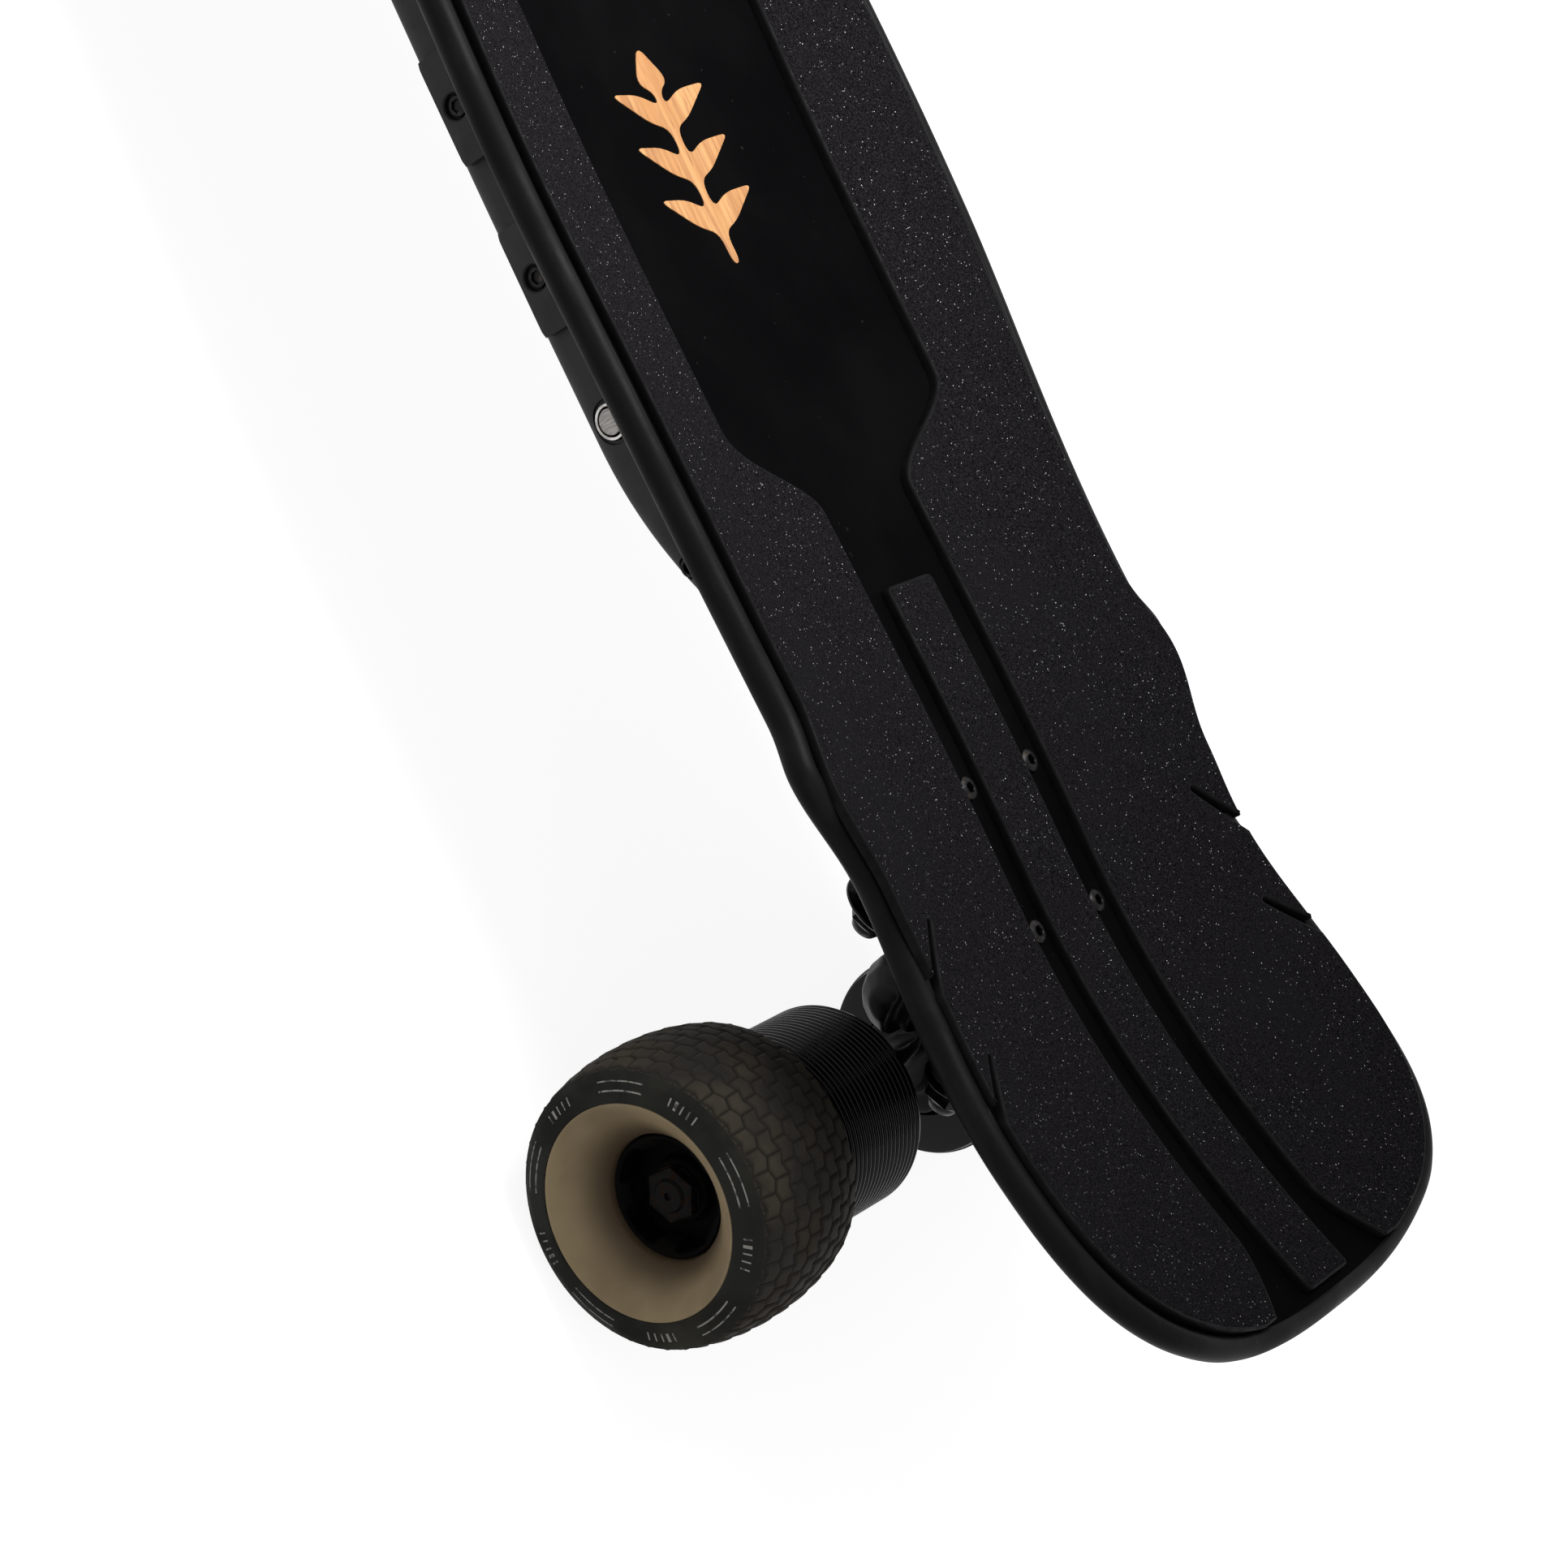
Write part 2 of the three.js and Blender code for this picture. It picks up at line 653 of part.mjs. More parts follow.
// Cushion with a bore, wider at one end, turned about the kingpin.
function bushing(pivot, from, to, wide, narrow) {
  const bore = 5.2;
  const body = turned([
    [bore, from], [wide - 1, from], [wide, from + 1.5], [narrow, to - 1], [narrow - 1, to], [bore, to],
  ], SMALL_ROUND);
  const middle = new THREE.Vector3(...pivotPoint(pivot, 0, 0));
  const down = new THREE.Vector3(...pivotPoint(pivot, 0, 1)).sub(middle);
  body.applyQuaternion(new THREE.Quaternion().setFromUnitVectors(new THREE.Vector3(0, 1, 0), down));
  return body.translate(...middle);
}

const axleAt = [truck.axleOut, -truck.axleDrop];
const dishFace = wheel.outer + wheel.bulge - wheel.dish; // where the cone of a wheel ends
const bearingFace = dishFace - wheel.dish / 2;

// Hanger with its axle, and with the nuts that hold the wheels on it.
function hanger(powered) {
  const [x, z] = axleAt;
  const across = (from, to, radius, facets = 12) => rod([x, from, z], [x, to, z], radius, facets);
  const shaft = powered ? truck.rearAxle : truck.frontAxle;
  const armEnd = powered ? motor.inner - 0.5 : wheel.inner - 5;
  const nutFrom = bearingFace + GAP;
  const pieces = [
    kingRod(trail, -6.5, 6.5, 15, ROUND),
    axisRod(trail, -10, -34, noseRadius),
    slab([[43, -67], [49, -73], [53, -84], [61, -93], [64, -104], [54, -114], [44, -107], [42, -96],
      [46, -79]], 22),
    across(-armEnd, armEnd, 11),
    across(-nutFrom - 6, nutFrom + 6, shaft),
  ];
  for (const side of [-1, 1]) {
    pieces.push(across(side * nutFrom, side * (nutFrom + 5), shaft + 3.4, 6));
    if (powered) pieces.push(across(side * 23, side * armEnd, 20, ROUND));
    else pieces.push(across(side * (armEnd - 6), side * (armEnd + 3), 6));
  }
  return cut(join(...pieces), kingRod(trail, -30, 30, pinHole));
}

// Moves a truck piece from its own frame to one end of the board.
function placeAt(end, geometry) {
  if (end < 0) geometry.rotateZ(Math.PI);
  return geometry.translate(end * deck.truckAt, 0, deck.topAtTrucks);
}

for (const [place, end] of [['rear', -1], ['front', 1]]) {
  const put = (name, geometry, material) => add(`${place}_${name}`, placeAt(end, geometry), material);
  put('baseplate', baseplate(), blackMetal);
  put('carrier', carrier(), blackMetal);
  put('hanger', hanger(end < 0), blackMetal);
  put('lead_kingpin', kingpin(lead, -35.4, 15.6, 15), blackSteel);
  put('lead_bushing_upper', bushing(lead, -21.6, -6.9, 13, 12), bushingBlack);
  put('lead_bushing_lower', bushing(lead, 6.9, 15.2, 12.5, 11.5), bushingBlack);
  put('trail_kingpin', kingpin(trail, -31, 15.6, 12), blackSteel);
  put('trail_bushing_upper', bushing(trail, -20.6, -6.9, 11.5, 11), bushingBlack);
  put('trail_bushing_lower', bushing(trail, 6.9, 15.2, 11.5, 10.5), bushingBlack);
}

// Deck bolts, each in one piece with its nut under the baseplate.
boltPlaces.forEach(([x, y], i) => {
  const top = deckTop(x, y) + GAP;
  const nutTop = deck.topAtTrucks + plateLow - GAP;
  const name = `deck_bolt_${x < 0 ? 'rear' : 'front'}_${(i % 4) + 1}`;
  add(name, join(
    rod([x, y, nutTop - 7], [x, y, top + 1], 2.4, 8),
    rod([x, y, top], [x, y, top + 2.2], 4.3, 8),
    rod([x, y, nutTop - 5], [x, y, nutTop], 4.6, 6),
  ), blackSteel);
});

// Glands where the two motor leads leave the enclosure.
for (const [name, side] of [['left', 1], ['right', -1]]) {
  const y = side * gland.y;
  const z = deck.topAtTrucks - gland.below;
  const near = -box.end - 1.5;
  add(`cable_gland_${name}`, join(
    rod([near - gland.length / 2, y, z], [near, y, z], gland.radius, 12),
    rod([near - gland.length, y, z], [near - gland.length / 3, y, z], gland.radius - 1.2, 12),
  ), bushingBlack);
}

// ---------- motors and wheels, turned about the axle ----------

function finnedCan() {
  const { radius, inner, outer, fins: count, finDepth, adapter, endHole } = motor;
  const bore = truck.rearAxle + 0.8;
  const inside = radius - motor.shell;
  const tube = adapter - motor.adapterWall;
  const pitch = (outer - inner - 8) / count;
  const ribs = spread(0, count - 1, count - 1).flatMap((i) => {
    const y = inner + 3 + pitch * i;
    return [[radius, y + pitch * 0.3], [radius - finDepth, y + pitch * 0.65]];
  });
  return turned([
    [endHole, inner], [radius - 1, inner], ...ribs, [radius, outer - 4], [radius - 1, outer],
    [adapter, outer], [adapter, dishFace - 4], [tube - 1, dishFace - 4], [tube - 2, bearingFace],
    [bore, bearingFace], [bore, bearingFace - 6], [tube, bearingFace - 7], [tube, outer - 3],
    [inside, outer - 3], [inside, inner + 3], [endHole, inner + 3],
  ]);
}

function stator() {
  const { inner, outer, endHole } = motor;
  const bore = truck.rearAxle + 0.6;
  const rim = motor.radius - motor.shell - 0.6;
  const back = inner + 6;
  const front = outer - 6;
  return turned([
    [bore, inner], [endHole - 5, inner], [endHole - 3, back], [rim, back + 2], [rim, back + 10],
    [rim - 4, back + 12], [rim - 4, front - 12], [rim, front - 10], [rim, front - 2], [endHole - 4, front],
    [bore, front],
  ], 16);
}

function tyre() {
  const { radius, shoulder, inner, outer, bulge, lip } = wheel;
  const middle = (inner + outer) / 2;
  return turned([
    [lip + 2, inner + 1], [shoulder - 3, inner], [shoulder, inner + 2], [radius - 1, inner + 12],
    [radius, middle], [radius - 1, outer - 12], [shoulder, outer - 2], [shoulder - 3, outer],
    [lip + 1, outer + bulge], [lip + 0.3, inner + 2],
  ], 24);
}

function core(bore) {
  const { inner, outer, bulge, lip, hub } = wheel;
  const narrow = bore < hub / 2;
  return turned([
    [bore, inner + 6], [lip - 3, inner + 1.5], [lip, inner + 3], [lip, outer + bulge - 0.6],
    [lip - 1.5, outer + bulge - 0.2], [lip - 6, outer - 5], [hub + 4, dishFace + 3], [hub + 0.6, dishFace],
    ...(narrow ? [[hub, bearingFace], [bore, bearingFace]] : [[bore, dishFace - 1]]),
  ], 20);
}

for (const [place, end] of [['rear', -1], ['front', 1]]) {
  for (const [hand, side] of [['left', 1], ['right', -1]]) {
    const put = (name, geometry, material) => {
      if (side < 0) geometry.rotateZ(Math.PI);
      geometry.translate(end * (deck.truckAt + truck.axleOut), 0, wheel.radius);
      add(`${place}_${hand}_${name}`, geometry, material);
    };
    if (end < 0) {
      put('motor_stator', stator(), copper);
      put('motor_can', finnedCan(), blackMetal);
    }
    put('tyre', tyre(), tyreRubber);
    put('core', core(end < 0 ? motor.adapter + GAP : truck.frontAxle + GAP), coreCream);
  }
}

export default model;
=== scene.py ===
"""Looks of an electric skateboard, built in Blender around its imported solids."""
from math import atan2, copysign, cos, hypot, pi, radians, sin

import bmesh
import bpy
import numpy as np
from mathutils import Matrix, Vector
from mathutils.geometry import delaunay_2d_cdt


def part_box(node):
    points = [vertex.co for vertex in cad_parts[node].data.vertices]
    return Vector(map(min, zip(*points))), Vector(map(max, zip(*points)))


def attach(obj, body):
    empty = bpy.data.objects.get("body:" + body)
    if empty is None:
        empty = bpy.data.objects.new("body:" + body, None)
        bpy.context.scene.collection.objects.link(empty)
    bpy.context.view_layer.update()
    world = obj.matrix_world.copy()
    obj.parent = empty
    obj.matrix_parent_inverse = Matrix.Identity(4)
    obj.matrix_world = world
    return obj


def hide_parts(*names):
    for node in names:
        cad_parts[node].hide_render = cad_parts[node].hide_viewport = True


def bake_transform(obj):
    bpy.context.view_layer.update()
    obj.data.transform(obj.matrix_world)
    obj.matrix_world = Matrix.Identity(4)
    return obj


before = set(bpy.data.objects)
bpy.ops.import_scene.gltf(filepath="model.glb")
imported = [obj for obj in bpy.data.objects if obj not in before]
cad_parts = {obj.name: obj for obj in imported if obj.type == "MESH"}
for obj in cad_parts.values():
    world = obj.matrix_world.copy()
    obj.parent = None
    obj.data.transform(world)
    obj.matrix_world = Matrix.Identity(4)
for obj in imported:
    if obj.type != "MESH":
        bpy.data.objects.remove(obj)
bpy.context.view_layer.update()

MM = 0.001

# ---------- names, and sizes in millimetres, the same as the solids' ----------

ENDS = (("rear", -1), ("front", 1))
HANDS = (("left", 1), ("right", -1))

# A plan is a row of (distance from the board's middle, value) pairs.
DECK_HALF, DECK_THICK = 453, 11
TRUCK_AT, TOP_AT_TRUCKS = 268, 156.5
KICK_START, KICK_RATE = 278, 0.00122  # where the ends begin to rise, and how fast
DIP = 8  # how much lower the deck's middle is than its top over the trucks
DECK_PLAN = [(0, 124), (196, 115), (216, 120), (258, 108.5), (358, 121.5)]  # half width
DECK_BLUNT = 3
PAD_PLAN = [(0, 114.5), (160, 107), (190, 106.8), (226, 113.8), (262, 107.8), (286, 107), (360, 114.6)]
PAD_BLUNT = 2.6
END_CURVE = 0.385  # power by which the deck and the pads close to their ends
CONCAVE_PLAN = [(40, 0.00155), (190, 0.0012), (430, 0.00117), (453, 0.0004)]  # rise to the sides
PAD_END, PAD_TIP = 446, 442
PAD_PANEL, PAD_SLOT = 67, 27.3  # a pad's inner edge beside the wide panel and beside a strip
NOTCHES = [((275, 91), (296.5, 109)), ((322.5, 97.5), (342.5, 116.5))]  # (root, mouth) of each
STRIP_FROM, STRIP_TO, STRIP_HALF = 167, 442, 14.3

BOX_FLAT, BOX_TAPER, BOX_END = 88, 72, 157  # full depth, then a taper of this length, cut off here
BOX_HALF, BOX_SIDE, BOX_FLOOR_HALF, BOX_DEPTH = 102, 17, 64, 22.5
HOLLOW_END = 118
GAP = 0.4  # between the deck and the enclosure's walls, and between a wheel's hub and its nut
BUTTON_AT, PORT_AT, CLAMP_AT, GLAND_AT = -84, -138, 31, 34

WHEEL_RADIUS, SHOULDER, LIP, HUB = 52.5, 49, 38, 22.5
TYRE_IN, TYRE_OUT, BULGE, DISH = 88.5, 146, 2, 16
LIP_AT = TYRE_OUT + BULGE
AXLE_AT = TRUCK_AT + 54
AXLE_RADIUS = {"rear": 6, "front": 4}
MOTOR_RADIUS, MOTOR_IN, MOTOR_OUT = 37.5, 28.3, 86
ADAPTER = 21.8  # radius of the drive hub
BEARING_FACE = LIP_AT - 1.5 * DISH

# Details that the solids leave plain.
RECESS = 0.7  # how far the middle of the deck lies below its rail
RAIL_STEP = 1.7  # where the top steps down, in from the start of the rounded edge
SPINE_END = 400  # how far the row of points on the deck's centre line reaches
PAD_HEIGHT, PAD_SOFT = 3.2, 1.1
INLAY_HEIGHT, INLAY_SOFT = 0.4, 0.15
VOXEL = 0.9  # grain of the castings when their edges are softened


# ---------- surfaces and outlines ----------


def ease(t):
    """Share from 0 to 1 that starts and ends gently."""
    return (1 - cos(pi * min(1, max(0, t)))) / 2


def smooth_step(value, low, high):
    """Share of the way from low to high, smooth at both."""
    t = min(1, max(0, (value - low) / (high - low)))
    return t * t * (3 - 2 * t)


def eased(plan, distance):
    """Value of a plan of (distance, value) pairs, eased between them."""
    for (start, low), (end, high) in zip(plan, plan[1:]):
        if distance <= end:
            return low + (high - low) * ease((distance - start) / (end - start))
    return plan[-1][1]


def plan_half(plan, end, blunt, distance):
    """Half width that follows a plan and closes to a rounded end."""
    start, width = plan[-1]
    if distance <= start:
        return eased(plan, distance)
    t = min(1, (distance - start) / (end - start))
    return width * (1 - t**blunt) ** END_CURVE


def deck_top(x, y):
    """Height of the top of the deck above the ground."""
    distance = abs(x)
    dip = DIP * (1 - ease(distance / TRUCK_AT))
    kick = KICK_RATE * max(0, distance - KICK_START) ** 2
    return TOP_AT_TRUCKS - dip + kick + eased(CONCAVE_PLAN, distance) * y * y


def deck_under(x, y):
    return deck_top(x, y) - DECK_THICK


def spread(start, end, steps):
    """Evenly spaced values from start to end."""
    return [start + (end - start) * i / steps for i in range(steps + 1)]


def rounded(points, radius, steps=4, closed=True):
    """Row of 2-D points with each corner drawn as a short curve."""
    result = []
    count = len(points)
    for i, corner in enumerate(points):
        if not closed and i in (0, count - 1):
            result.append(tuple(corner))
            continue
        here = Vector(corner)
        sides = [Vector(points[i - 1]) - here, Vector(points[(i + 1) % count]) - here]
        start, end = [here + side.normalized() * min(radius, side.length / 2.05) for side in sides]
        for t in spread(0, 1, steps):
            point = start * (1 - t) ** 2 + here * 2 * t * (1 - t) + end * t**2
            result.append(tuple(point))
    return result


def shrunk(outline, distance):
    """Anticlockwise outline moved inward by a distance."""
    moved = []
    for before, here, after in zip(outline[-1:] + outline[:-1], outline, outline[1:] + outline[:1]):
        along = (Vector(after) - Vector(before)).normalized()
        moved.append((here[0] - along.y * distance, here[1] + along.x * distance))
    return moved


def inside(outline, points):
    """Which of the points lie inside an outline, by counting how often it is crossed."""
    px, py = np.array(points).T
    found = np.zeros(len(points), bool)
    for (ax, ay), (bx, by) in zip(outline, outline[1:] + outline[:1]):
        if ay != by:
            reach = (bx - ax) * (py - ay) / (by - ay) + ax
            found ^= ((ay > py) != (by > py)) & (px < reach)
    return found


# ---------- meshes ----------


class Shape:
    """Points and faces of one piece, in millimetres."""

    def __init__(self):
        self.points = []
        self.faces = []

    def bridge(self, low, high):
        """Faces between two rows of points, given by their numbers."""
        for i in range(len(low)):
            j = (i + 1) % len(low)
            self.faces.append((low[i], low[j], high[j], high[i]))

    def skin(self, rings):
        """Faces from each ring of points to the next. Gives the numbers of each ring's points."""
        ids = []
        for points in rings:
            ids.append(range(len(self.points), len(self.points) + len(points)))
            self.points.extend(points)
        for low, high in zip(ids, ids[1:]):
            self.bridge(low, high)
        return ids

    def solid(self, rings, loop=False):
        """Skin closed by faces back to its first ring, or by one face at each end."""
        ids = self.skin(rings)
        if loop:
            self.bridge(ids[-1], ids[0])
        else:
            self.faces += [tuple(ids[0]), tuple(ids[-1])]
        return self


def added(name, data):
    """New object in the scene."""
    obj = bpy.data.objects.new(name, data)
    bpy.context.scene.collection.objects.link(obj)
    return obj


def placed(name, shape, place):
    """Mesh of a shape, point for point, in its place."""
    mesh = bpy.data.meshes.new(name)
    mesh.from_pydata([place @ (Vector(point) * MM) for point in shape.points], [], shape.faces)
    return mesh


def closed(name, shape, place):
    """Mesh of a shape in its place, its double points joined and its faces turned outward."""
    mesh = placed(name, shape, place)
    work = bmesh.new()
    work.from_mesh(mesh)
    bmesh.ops.remove_doubles(work, verts=work.verts, dist=1e-6)
    bmesh.ops.recalc_face_normals(work, faces=work.faces)
    work.to_mesh(mesh)
    work.free()
    return mesh


def piece(name, shape, finish, body, replaces=(), place=Matrix(), sharp=35):
    """Object from a shape, finished, riding on a body and standing for CAD nodes."""
    return dressed(name, closed(name, shape, place), finish, body, replaces, sharp)


def dressed(name, mesh, finish, body, replaces, sharp):
    """Object from a mesh; without a body it is attached to none."""
    obj = added(name, mesh)
    mesh.materials.clear()
    mesh.materials.append(finish)
    shade(mesh, sharp)
    if body:
        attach(obj, body)
    if replaces:
        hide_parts(*replaces)
    return obj


def shade(mesh, sharp):
    """Smooth shading that keeps edges of more than so many degrees sharp."""
    mesh.shade_smooth()
    mesh.set_sharp_from_angle(angle=radians(sharp))


def apply_modifiers(obj):
    """Makes what an object's modifiers give its own mesh."""
    graph = bpy.context.evaluated_depsgraph_get()
    before = obj.data
    obj.data = bpy.data.meshes.new_from_object(obj.evaluated_get(graph))
    obj.modifiers.clear()
    bpy.data.meshes.remove(before)


def carve(obj, tools, sharp):
    """Cuts each tool out of an object and drops the tools."""
    for cutter in tools:
        change = obj.modifiers.new("cut", "BOOLEAN")
        change.operation = "DIFFERENCE"
        change.solver = "EXACT"
        change.object = cutter
    apply_modifiers(obj)
    for cutter in tools:
        bpy.data.objects.remove(cutter)
    shade(obj.data, sharp)


def tool(shape, place=Matrix()):
    """Object that only cuts another one."""
    return added("tool", closed("tool", shape, place))


def hoop(y, facets, reach):
    """Ring of points about the Y axis; reach gives the radius at an angle."""
    angles = [2 * pi * i / facets for i in range(facets)]
    return [(reach(angle) * cos(angle), y, reach(angle) * sin(angle)) for angle in angles]


def turned(profile, facets=96, loop=False, shape=None, start=0):
    """Body turned about Y from (radius, y) points, with y measured from a start.

    A third value "hex" makes that ring six-sided.
    """
    def reach(radius, kind, angle):
        return radius / cos((angle + pi / 6) % (pi / 3) - pi / 6) if kind else radius

    rings = [hoop(start + y, facets, lambda angle: reach(radius, kind, angle))
             for radius, y, *kind in profile]
    return (shape or Shape()).solid(rings, loop)


def standing(x, y, z, side):
    """Place at a point in millimetres, turned half round about Z on the negative side."""
    turn = Matrix.Rotation(pi if side < 0 else 0, 4, "Z")
    return Matrix.Translation(Vector((x, y, z)) * MM) @ turn


def aimed(origin, direction):
    """Place whose own Y axis points in a direction, with the origin given in millimetres."""
    turn = Vector((0, 1, 0)).rotation_difference(Vector(direction).normalized()).to_matrix().to_4x4()
    return Matrix.Translation(Vector(origin) * MM) @ turn


# ---------- finishes ----------


def linear(colour):
    """Colour for Blender, from one written as 0 to 255 on the screen."""
    shares = [value / 255 for value in colour]
    return (*(s / 12.92 if s <= 0.04045 else ((s + 0.055) / 1.055) ** 2.4 for s in shares), 1)


def wired(tree, kind, inputs=None, **settings):
    """Outputs of a new node; each of its inputs is given as a value or as another node's output."""
    made = tree.nodes.new(kind)
    for name, value in settings.items():
        setattr(made, name, value)
    for socket, value in (inputs or {}).items():
        if isinstance(value, bpy.types.NodeSocket):
            tree.links.new(value, made.inputs[socket])
        else:
            made.inputs[socket].default_value = value
    return made.outputs


class Finish:
    """A Principled material and the few nodes that vary it.

    Colours are written as 0 to 255 on the screen, scales are per metre of the object. Spots are
    what noise takes, two of the noise's values, and the colour at each. Rough is what uneven takes,
    or only the least and most roughness, which then go with the spots. Relief is what noise takes
    and a depth in millimetres, or only the depth, which then goes with the noise of the spots.
    """

    def __init__(self, name, slot, colour, roughness, metallic=0.0, specular=0.5,
                 spots=None, rough=None, relief=None):
        self.material = bpy.data.materials.new(name)
        self.material.use_nodes = True
        self.material["slot"] = slot
        self.tree = self.material.node_tree
        self.sockets = self.tree.nodes["Principled BSDF"].inputs
        for socket, value in (("Base Color", linear(colour)), ("Roughness", roughness),
                              ("Metallic", metallic), ("Specular IOR Level", specular)):
            self.sockets[socket].default_value = value
        self.place = self.node("ShaderNodeTexCoord")["Object"]
        if spots:
            noise, low, high, first, second = spots
            waves = self.noise(*noise)
            share = self.graded(waves, low, high)
            self.painted(self.between(share, first, second))
        if rough:
            self.roughness(self.graded(share, 0, 1, *rough) if len(rough) == 2 else self.uneven(*rough))
        if relief:
            *noise, depth = relief
            self.bump(self.noise(*noise) if noise else waves, depth)

    def node(self, kind, inputs=None, **settings):
        return wired(self.tree, kind, inputs, **settings)

    def noise(self, scale, detail, stretch=None):
        """Noise at each place of the object, whose coordinates may first be stretched."""
        place = self.place
        if stretch:
            place = self.node("ShaderNodeMapping", {"Vector": place, "Scale": stretch})[0]
        return self.node("ShaderNodeTexNoise", {"Vector": place, "Scale": scale, "Detail": detail})[0]

    def cells(self, scale):
        """Distance to the nearest of scattered points, and a random value for each."""
        made = self.node("ShaderNodeTexVoronoi", {"Vector": self.place, "Scale": scale})
        return made["Distance"], made["Color"]

    def attribute(self, name):
        return self.node("ShaderNodeAttribute", attribute_name=name)["Fac"]

    def graded(self, value, low, high, start=0.0, end=1.0):
        """Value mapped from low..high to start..end."""
        inputs = {"Value": value, "From Min": low, "From Max": high, "To Min": start, "To Max": end}
        return self.node("ShaderNodeMapRange", inputs, interpolation_type="SMOOTHSTEP")[0]

    def times(self, first, second):
        return self.node("ShaderNodeMath", {0: first, 1: second}, operation="MULTIPLY")[0]

    def between(self, factor, first, second):
        """Colour between two, each given as a colour or as a node's output."""
        first, second = (linear(end) if isinstance(end, tuple) else end for end in (first, second))
        return self.node("ShaderNodeMix", {0: factor, 6: first, 7: second}, data_type="RGBA")[2]

    def shades(self, value, low, high, first, second):
        """Colour that goes from one to another as a value goes from low to high."""
        return self.between(self.graded(value, low, high), first, second)

    def painted(self, colour):
        """The finish's material, with its colour from a node."""
        self.tree.links.new(colour, self.sockets["Base Color"])
        return self.material

    def roughness(self, socket):
        self.tree.links.new(socket, self.sockets["Roughness"])

    def uneven(self, scale, detail, gloss, matt, low=0.3):
        """Roughness that wanders between two values, from a low value of the noise on."""
        return self.graded(self.noise(scale, detail), low, 0.7, gloss, matt)

    def bump(self, height, depth):
        """Relief of so many millimetres."""
        made = self.node("ShaderNodeBump", {"Distance": depth * MM, "Height": height})
        self.tree.links.new(made[0], self.sockets["Normal"])


# Satin black lacquer of the deck's rail, scuffed here and there. On the deck's underside its lighter colour
# is painted fill light.
RAIL = Finish("rail_lacquer", "deck", (18, 18, 19), 0.5, specular=0.06,
              spots=((120, 5, (0.3, 1, 1)), 0.5, 0.75, (17, 17, 18), (28, 27, 27)),
              rough=(40, 5, 0.4, 0.6, 0.35), relief=(700, 3, 0.04)).material
# Smooth black rubber at the edge of a grip pad.
PAD_EDGE = Finish("pad_edge", "grip", (11, 11, 12), 0.6, specular=0.08,
                  rough=(240, 4, 0.5, 0.72), relief=(900, 2, 0.05)).material
# Moulded black plastic with a fine spark texture.
SHELL = Finish("moulded_shell", "shell", (28, 27, 30), 0.58, specular=0.25,
               spots=((240, 4), 0.35, 0.7, (27, 27, 29), (31, 31, 33)),
               rough=(90, 4, 0.55, 0.62), relief=(1600, 2, 0.06)).material
# Zinc plated steel with fine scratches.
STEEL = Finish("plated_steel", "hardware", (180, 179, 177), 0.32, metallic=1.0,
               spots=((260, 4), 0.4, 0.72, (186, 185, 184), (136, 132, 126)),
               rough=(500, 5, 0.22, 0.42), relief=(2600, 2, (1, 1, 0.15), 0.01)).material
# Brushed face of the power button.
BRUSHED = Finish("brushed_steel", "hardware", (128, 125, 122), 0.45, metallic=1.0, relief=(0.03,),
                 spots=((1600, 3, (1, 1, 0.08)), 0.35, 0.65, (112, 109, 106), (142, 139, 136))).material
# Black oxide steel, worn a little on its faces.
BLACK_STEEL = Finish("black_steel", "black_hardware", (30, 29, 29), 0.42, metallic=0.9,
                     spots=((320, 5), 0.52, 0.75, (26, 25, 26), (56, 50, 45)),
                     rough=(420, 4, 0.3, 0.5), relief=(1800, 2, 0.02)).material
# Matt dark steel with a little rust, for the axles and their nuts.
RUSTY = Finish("rusty_steel", "truck_black", (18, 16, 15), 0.75, specular=0.06,
               spots=((420, 5), 0.5, 0.7, (15, 14, 14), (46, 31, 22)),
               rough=(0.55, 0.85), relief=(1500, 3, 0.05)).material
# Gloss black anodised aluminium of the motor cans, sealed like a varnish.
ANODISED = Finish("black_anodised", "truck_black", (13, 13, 14), 0.2, specular=0.16,
                  spots=((70, 5), 0.5, 0.8, (11, 11, 12), (24, 23, 23)),
                  rough=(180, 4, 0.1, 0.18), relief=(1500, 2, 0.015)).material
# Satin black paint over cast aluminium.
CASTING = Finish("painted_casting", "truck_black", (14, 14, 15), 0.42, specular=0.14,
                 spots=((45, 5), 0.48, 0.8, (12, 12, 13), (21, 20, 20)),
                 rough=(90, 5, 0.34, 0.52), relief=(520, 3, 0.06)).material
# Matt black paint of the drive hub, with road dust in it.
HUB_PAINT = Finish("hub_paint", "truck_black", (10, 10, 10), 0.8, specular=0.03,
                   spots=((110, 5), 0.45, 0.75, (7, 7, 7), (23, 20, 18)),
                   rough=(0.62, 0.86), relief=(700, 3, 0.08)).material
# Cast black urethane.
BUSHING = Finish("urethane", "bushing", (20, 20, 21), 0.44, specular=0.2,
                 spots=((120, 4), 0.4, 0.7, (18, 18, 19), (30, 28, 27)),
                 rough=(200, 4, 0.36, 0.55), relief=(900, 2, 0.03)).material
# Pale print on the tyre's side, rubbed thin in places.
PAINT = Finish("side_paint", "tyre", (150, 148, 140), 0.7,
               spots=((420, 4), 0.5, 0.62, (168, 166, 158), (60, 58, 53)), relief=(900, 2, 0.05)).material
# Copper windings of a motor's stator.
WINDING = Finish("winding", "winding", (120, 66, 30), 0.5, metallic=0.5, relief=(0.2,),
                 spots=((900, 1, (1, 0.1, 1)), 0.4, 0.6, (74, 38, 18), (132, 76, 36))).material
# Shrink wrap round the battery's cells.
WRAP = Finish("cell_wrap", "cells", (36, 62, 108), 0.4, relief=(0.3,),
              spots=((160, 5, (1, 0.3, 1)), 0.4, 0.7, (30, 54, 98), (44, 74, 124))).material


